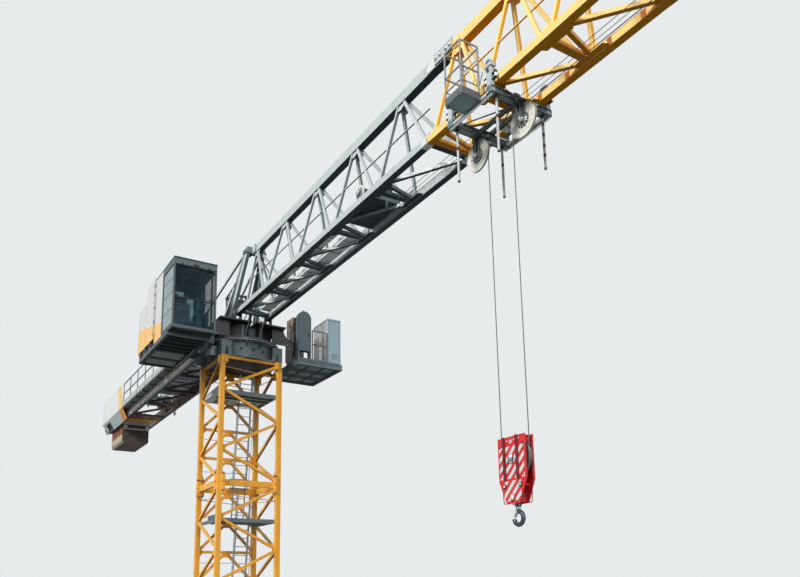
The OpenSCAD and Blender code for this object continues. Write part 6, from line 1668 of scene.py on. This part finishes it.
def counter_pieces():
    out, inner, z0, z1 = 0.81, 0.69, 0.85, 1.34
    b = Build("counter_jib_details", "upperworks", "dark_paint", "dark", "recess", "steel", "black", "white",
            "zinc_dark", up=TOP)
    for s in (-1, 1):
        x = -1.75
        while x > -17.2:
            if not -14.7 < x < -14.4:
                b.box((x - 0.006, s * (out - 0.043), z0 + 0.142), (x + 0.006, s * (out - 0.004), z0 + 0.428),
                        "recess", 0.002)
            x -= 1.16 if x > -11.6 else 0.29
        # bearing and splice plates with their bolts
        for x in (-1.45, -6.2, -9.9, -12.4):
            b.box((x - 0.17, s * out, z0 + 0.015), (x + 0.17, s * (out + 0.014), z0 + 0.125), "dark", 0.003)
            b.bolts(((x + dx, s * (out + 0.014), z0 + dz) for dx in (-0.13, -0.045, 0.045, 0.13)
                    for dz in (0.04, 0.1)), (0, s, 0), 0.011, 0.012, "steel")
        for x in (-1.25, -6.2):
            b.rod((x, s * (inner - 0.03), z0 + 0.25), (x, s * (out + 0.03), z0 + 0.25), 0.045, "steel", 20)
        for x in (-2.3, -4.1, -6.0, -7.9, -9.7, -11.6):
            b.box((x - 0.02, s * (inner - 0.05), z0 + 0.14), (x + 0.02, s * inner, z0 + 0.3), "dark", 0.004)
        # inner pipes and cables along the beams
        b.rod((-12.6, s * (inner - 0.06), z0 + 0.36), (-1.9, s * (inner - 0.06), z0 + 0.36), 0.022, "black",
                8)
    b.rod((-9.4, 0.22, z1 - 0.09), (-1.9, 0.22, z1 - 0.09), 0.018, "white", 8)
    x = -2.2
    while x > -9.5:
        b.box((x - 0.025, -inner, z1 - 0.105), (x + 0.025, inner, z1 - 0.0605), "zinc_dark", 0.004)
        x -= 0.62
    # small pulley hung outside the far beam
    b.box((-10.98, out, z0 + 0.02), (-10.82, out + 0.014, z0 + 0.13), "dark", 0.003)
    for y in (out + 0.03, out + 0.11):
        b.plate([(-0.05, 0.12), (0.05, 0.12), (0.03, -0.1), (-0.03, -0.1)], (-10.9, y, z0), X, Z, 0.008,
                "dark")
    b.box((-10.95, out + 0.014, z0 + 0.09), (-10.85, out + 0.114, z0 + 0.12), "dark", 0.003)
    b.ring((-10.9, out + 0.045, z0 - 0.06), Y, 0.018, 0.095, 0.05, "white", 28)
    b.rod((-10.9, out + 0.015, z0 - 0.06), (-10.9, out + 0.125, z0 - 0.06), 0.018, "steel", 12)
    # carrier rails over the slabs and their end stops
    for s in (-1, 1):
        b.box((-17.25, s * 0.815, z1 + 0.02), (-14.55, s * 0.83, z1 + 0.07), "dark", 0.003)
        b.box((-14.62, s * 0.45, z0 - 0.13), (-14.56, s * 0.62, z0 - 0.01), "recess", 0.004)
        for x in (-14.5, -14.0, -13.4):
            b.bolt((x, s * 0.64, z0 - 0.001), (0, 0, -1), 0.012, 0.012, "steel")
    b.block((-14.62, 0, z0 - 0.1725), (0.04, 1.24, 0.055), "recess", 0.006)
    b.done()

    b = Build("slab_details", "upperworks", "ballast", "ballast", "steel", up=TOP)
    for i in range(8):
        x = -17.1 + 0.305 * i
        for s in (-1, 1):
            b.tube([(x + 0.1, s * 0.45, z1 + 0.19), (x + 0.1, s * 0.45, z1 + 0.27),
                    (x + 0.145, s * 0.45, z1 + 0.31), (x + 0.19, s * 0.45, z1 + 0.27),
                    (x + 0.19, s * 0.45, z1 + 0.19)], 0.014, "steel", 8)
            for z in (0.16, 0.62):
                b.cap((x + 0.145, s * 0.65, z), (0, s, 0), [(0.05, 0), (0.05, 0.006), (0.035, 0.012)],
                        "ballast", 20)
            b.box((x + 0.01, s * 0.65, 0.385), (x + 0.28, s * 0.655, 0.415), "ballast", 0.002)
    for y in (-0.38, 0.38):
        b.block((-14.657, y, 0.37), (0.014, 0.14, 0.14), "ballast", 0.006)
    b.done()

    b = Build("walkway_details", "upperworks", "zinc", "zinc_dark", "steel", "black", "zinc", up=TOP)
    for i in range(9):
        x = -12.78 + i * 10.84 / 8
        b.box((x - 0.03, -1.098, z1), (x + 0.07, -1.02, z1 + 0.012), "zinc_dark", 0.003)
        b.bolt((x + 0.02, -1.035, z1 + 0.012), Z, 0.009, 0.01, "steel")
        b.box((x - 0.002, -1.121, 1.33), (x + 0.042, -1.115, 1.54), "zinc_dark", 0.002)
        for z in (1.38, 1.49):
            b.bolt((x + 0.02, -1.121, z), (0, -1, 0), 0.007, 0.007, "steel", False)
    grating(b, -12.7, -1.09, -1.95, -0.83, z1 + 0.001, 0.09, "zinc", 0.003)
    b.tube([(-12.6, -1.0, z1 + 0.05), (-11.0, -0.98, z1 + 0.04), (-8.0, -1.0, z1 + 0.045),
            (-5.0, -0.98, z1 + 0.04), (-2.0, -1.0, z1 + 0.05)], 0.02, "black", 8)
    b.done()

    b = Build("hoist_details", "upperworks", "dark_paint", "slate", "steel", "black", "pale", up=TOP)
    hx, hz = DRUM_X, DRUM_Z
    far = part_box("hoist_winch")[1][1]
    my = far - 0.13
    # ribs of the motor at the drum's far side
    for k in range(12):
        b.ring((hx - 0.27 - 0.045 * k, my, hz + 0.04), X, 0.186, 0.212, 0.012, "slate", 28)
    b.cap((hx - 0.85, my, hz + 0.04), (-1, 0, 0), [(0.185, 0), (0.185, 0.03), (0.13, 0.06)], "black", 28)
    b.block((hx - 0.55, my, hz + 0.27), (0.22, 0.16, 0.08), "pale", 0.012)
    b.bolts(((hx + dx, y, 1.44) for y in (-0.75, 0.75) for dx in (-0.55, 0.55)), Z, 0.016, 0.018, "steel")
    b.bolts(((hx + dx, far, hz + dz) for dz in (0.0, 0.09, 0.18) for dx in (-0.18, -0.06, 0.06, 0.18)), Y,
            0.012, 0.012, "steel")
    # control box in front: lid and ribs
    b.box((hx - 0.68, -0.69, 1.92), (hx - 0.36, -0.4, 1.955), "pale", 0.01)
    for k in range(6):
        b.box((hx - 0.66, -0.7, 1.5 + 0.06 * k), (hx - 0.38, -0.694, 1.52 + 0.06 * k), "slate", 0.001)
    b.tube([(hx - 0.5, -0.45, 1.95), (hx - 0.5, -0.3, 2.02), (hx - 0.45, 0.0, 1.98), (hx - 0.5, 0.3, 1.9)],
            0.016, "black", 8)
    b.done()

    b = Build("hoist_drum_rope", "hoist_drum", "wire", "wire", up=TOP)
    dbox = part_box("hoist_drum")
    ya, yz = dbox[0][1] + 0.035, dbox[1][1] - 0.035
    n = int((yz - ya) / 0.026)
    for k in range(n):
        b.ring((hx, ya + 0.026 * k, hz), Y, 0.222, 0.2405, 0.0225, "wire", 32)
    b.done()

    b = Build("railing_details", "upperworks", "zinc", "steel", up=TOP)
    for x in (-12.78, -1.94):
        b.cap((x + 0.02, -1.08, z1 + 1.12), Z, [(0.024, 0), (0.024, 0.012), (0.012, 0.02)], "steel", 14)
    b.done()


def cover_pieces():
    b = Build("tail_cover_details", "upperworks", "white_paint", "white", "slate", "dark", "black", "rubber",
            up=TOP)
    y = -1.115
    for x in (-14.3, -15.7):
        b.block((x, y - 0.0015, 1.885), (0.008, 0.003, 1.11), "white", 0.001)
    for x in (-13.6, -15.0, -16.6):
        for z in (1.42, 2.36):
            b.lathe((x, y, z), (0, -1, 0), [(0, 0), (0.016, 0), (0.014, 0.006), (0, 0.008)], "slate", 12)
    # frame behind the sheet, seen from the walkway and from above
    for x in (-13.4, -14.6, -15.8, -17.2):
        b.bar((x, -1.085, 1.34), (x, -1.085, 2.44), 0.03, 0.03, "dark", X)
        b.bar((x, -0.86, 1.36), (x, -1.075, 1.95), 0.025, 0.025, "dark", X)
    for z in (1.95, 2.42):
        b.bar((-13.3, -1.085, z), (-17.3, -1.085, z), 0.03, 0.03, "dark")
    # opening in the slope: a dark sheet that paints the shade inside it, hinge and latch
    down = unit((0, 0.31, -0.47))
    b.solid((-16.48, -0.885, 1.068), (X, down, down.cross(Vector(X))), (0.6, 0.23, 0.004), "rubber", 0.002)
    for x in (-17.06, -15.9):
        b.bar((x, -1.03, 1.18), (x, -0.84, 0.89), 0.02, 0.03, "black", X)
    b.bar((-17.05, -1.032, 1.19), (-15.9, -1.032, 1.19), 0.03, 0.02, "black")
    b.box((-17.36, -1.12, 1.25), (-17.345, -0.84, 1.33), "slate", 0.003)
    b.bar((-17.3, -0.98, 1.06), (-17.36, -0.86, 0.8), 0.03, 0.03, "black")
    b.done()


def nose_pieces():
    b = Build("nose_details", "upperworks", "jib_paint", "jib_yellow", "black", "white", "red_plain")
    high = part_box("jib_nose")[1]
    for s in (-1, 1):
        b.lathe((high[0] - 0.12, s * CHORD_Y, WEB_Z + 0.001), Z,
                [(0, 0), (0.05, 0), (0.045, 0.03), (0.03, 0.05), (0, 0.055)], "black", 18)
        b.box((TIP - 0.1, s * (CHORD_Y - 0.09), WEB_Z), (TIP + 0.02, s * (CHORD_Y + 0.03), WEB_Z + 0.02),
                "jib_yellow", 0.004)
        b.box((TIP - 0.34, s * 0.44, WEB_Z), (TIP - 0.26, s * 0.5, WEB_Z + 0.12), "black", 0.012)
    b.block((high[0] - 0.24, 0, WEB_Z + 0.08), (0.2, 0.2, 0.16), "white", 0.012)
    b.lathe((TIP - 0.3, 0, TOP_Z + 0.23), Z, [(0, 0), (0.05, 0), (0.05, 0.012), (0.038, 0.016),
            (0.034, 0.045), (0.02, 0.058), (0, 0.06)], "red_plain", 18)
    b.done()


for make in (tower_pieces, slewing_pieces, jib_pieces, trolley_pieces, block_pieces, fall_pieces,
        block_sheave_pieces, cab_pieces, service_pieces, counter_pieces, cover_pieces, nose_pieces):
    make()


# ---------------------------------------------------------------- camera, stage and light
def make_camera():
    yaw, pitch, roll = (math.radians(a) for a in (148.631, 10.922, -0.759))
    ahead = Vector((math.cos(yaw) * math.cos(pitch), math.sin(yaw) * math.cos(pitch), math.sin(pitch)))
    side = Vector((math.sin(yaw), -math.cos(yaw), 0))
    up = side.cross(ahead)
    right = side * math.cos(roll) + up * math.sin(roll)
    above = up * math.cos(roll) - side * math.sin(roll)
    data = bpy.data.cameras.new("camera")
    data.sensor_fit, data.sensor_width, data.lens = "HORIZONTAL", 36.0, 33.15
    data.shift_x, data.shift_y = 0.03, 0.2
    data.clip_start, data.clip_end = 0.1, 1000
    camera = bpy.data.objects.new("camera", data)
    turn = Matrix((right, above, -ahead)).transposed()
    camera.matrix_world = Matrix.Translation((22.929, -8.627, 5.188)) @ turn.to_4x4()
    scene.collection.objects.link(camera)
    scene.camera = camera


def area_light(name, at, toward, size, power, color=(1, 1, 1)):
    data = bpy.data.lights.new(name, "AREA")
    data.shape, data.size, data.energy, data.color = "DISK", size, power, color
    lamp = bpy.data.objects.new(name, data)
    lamp.matrix_world = Matrix.Translation(at) @ (Vector(at) - Vector(toward)).to_track_quat("Z",
            "Y").to_matrix().to_4x4()
    scene.collection.objects.link(lamp)


def make_stage():
    mesh = bpy.data.meshes.new("floor")
    r = 240.0
    mesh.from_pydata([(-r, -r, -0.002), (r, -r, -0.002), (r, r, -0.002), (-r, r, -0.002)], [], [(0, 1, 2, 3)])
    floor = bpy.data.objects.new("floor", mesh)
    s = Shader("floor")
    seen = s.new("ShaderNodeLightPath").outputs
    direct = s.math("ADD", seen["Is Camera Ray"], s.math("ADD", seen["Is Glossy Ray"],
            seen["Is Transmission Ray"]), True)
    grey = s.mix(s.ramp(s.noise(0.6, 4), 0.3, 0.7), (0.55, 0.56, 0.56, 1), (0.6, 0.61, 0.61, 1))
    mesh.materials.append(s.finish(s.mix(direct, (0.07, 0.085, 0.09, 1), grey), 0.8, s.noise(4, 4), 0.1,
            0.01))
    scene.collection.objects.link(floor)
    world = bpy.data.worlds.new("studio")
    world.use_nodes = True
    tree = world.node_tree
    tree.nodes.clear()
    out, rays, mixed, glossy, seen, ambient, shown = (tree.nodes.new("ShaderNode" + kind)
            for kind in ("OutputWorld", "LightPath", "MixShader", "Math", "Math", "Background", "Background"))
    for node in (glossy, seen):
        node.operation, node.use_clamp = "ADD", True
    ambient.inputs[0].default_value, ambient.inputs[1].default_value = (0.86, 0.93, 1.0, 1), 0.3
    shown.inputs[0].default_value, shown.inputs[1].default_value = (0.8, 0.83, 0.84, 1), 1.0
    for source, socket in ((rays.outputs["Is Glossy Ray"], glossy.inputs[0]),
            (rays.outputs["Is Transmission Ray"], glossy.inputs[1]),
            (rays.outputs["Is Camera Ray"], seen.inputs[0]), (glossy.outputs[0], seen.inputs[1]),
            (seen.outputs[0], mixed.inputs[0]), (ambient.outputs[0], mixed.inputs[1]),
            (shown.outputs[0], mixed.inputs[2]), (mixed.outputs[0], out.inputs[0])):
        tree.links.new(source, socket)
    scene.world = world
    area_light("key", (30, -84, 72), (2, 0, 13), 26, 112000, (1.0, 0.98, 0.95))
    area_light("fill", (80, -6, 30), (2, 0, 13), 30, 26000, (0.95, 0.98, 1.0))
    area_light("rim", (-50, 55, 50), (0, 0, 13), 26, 24000, (0.97, 0.99, 1.0))


scene.view_settings.view_transform = "Standard"
make_camera()
make_stage()
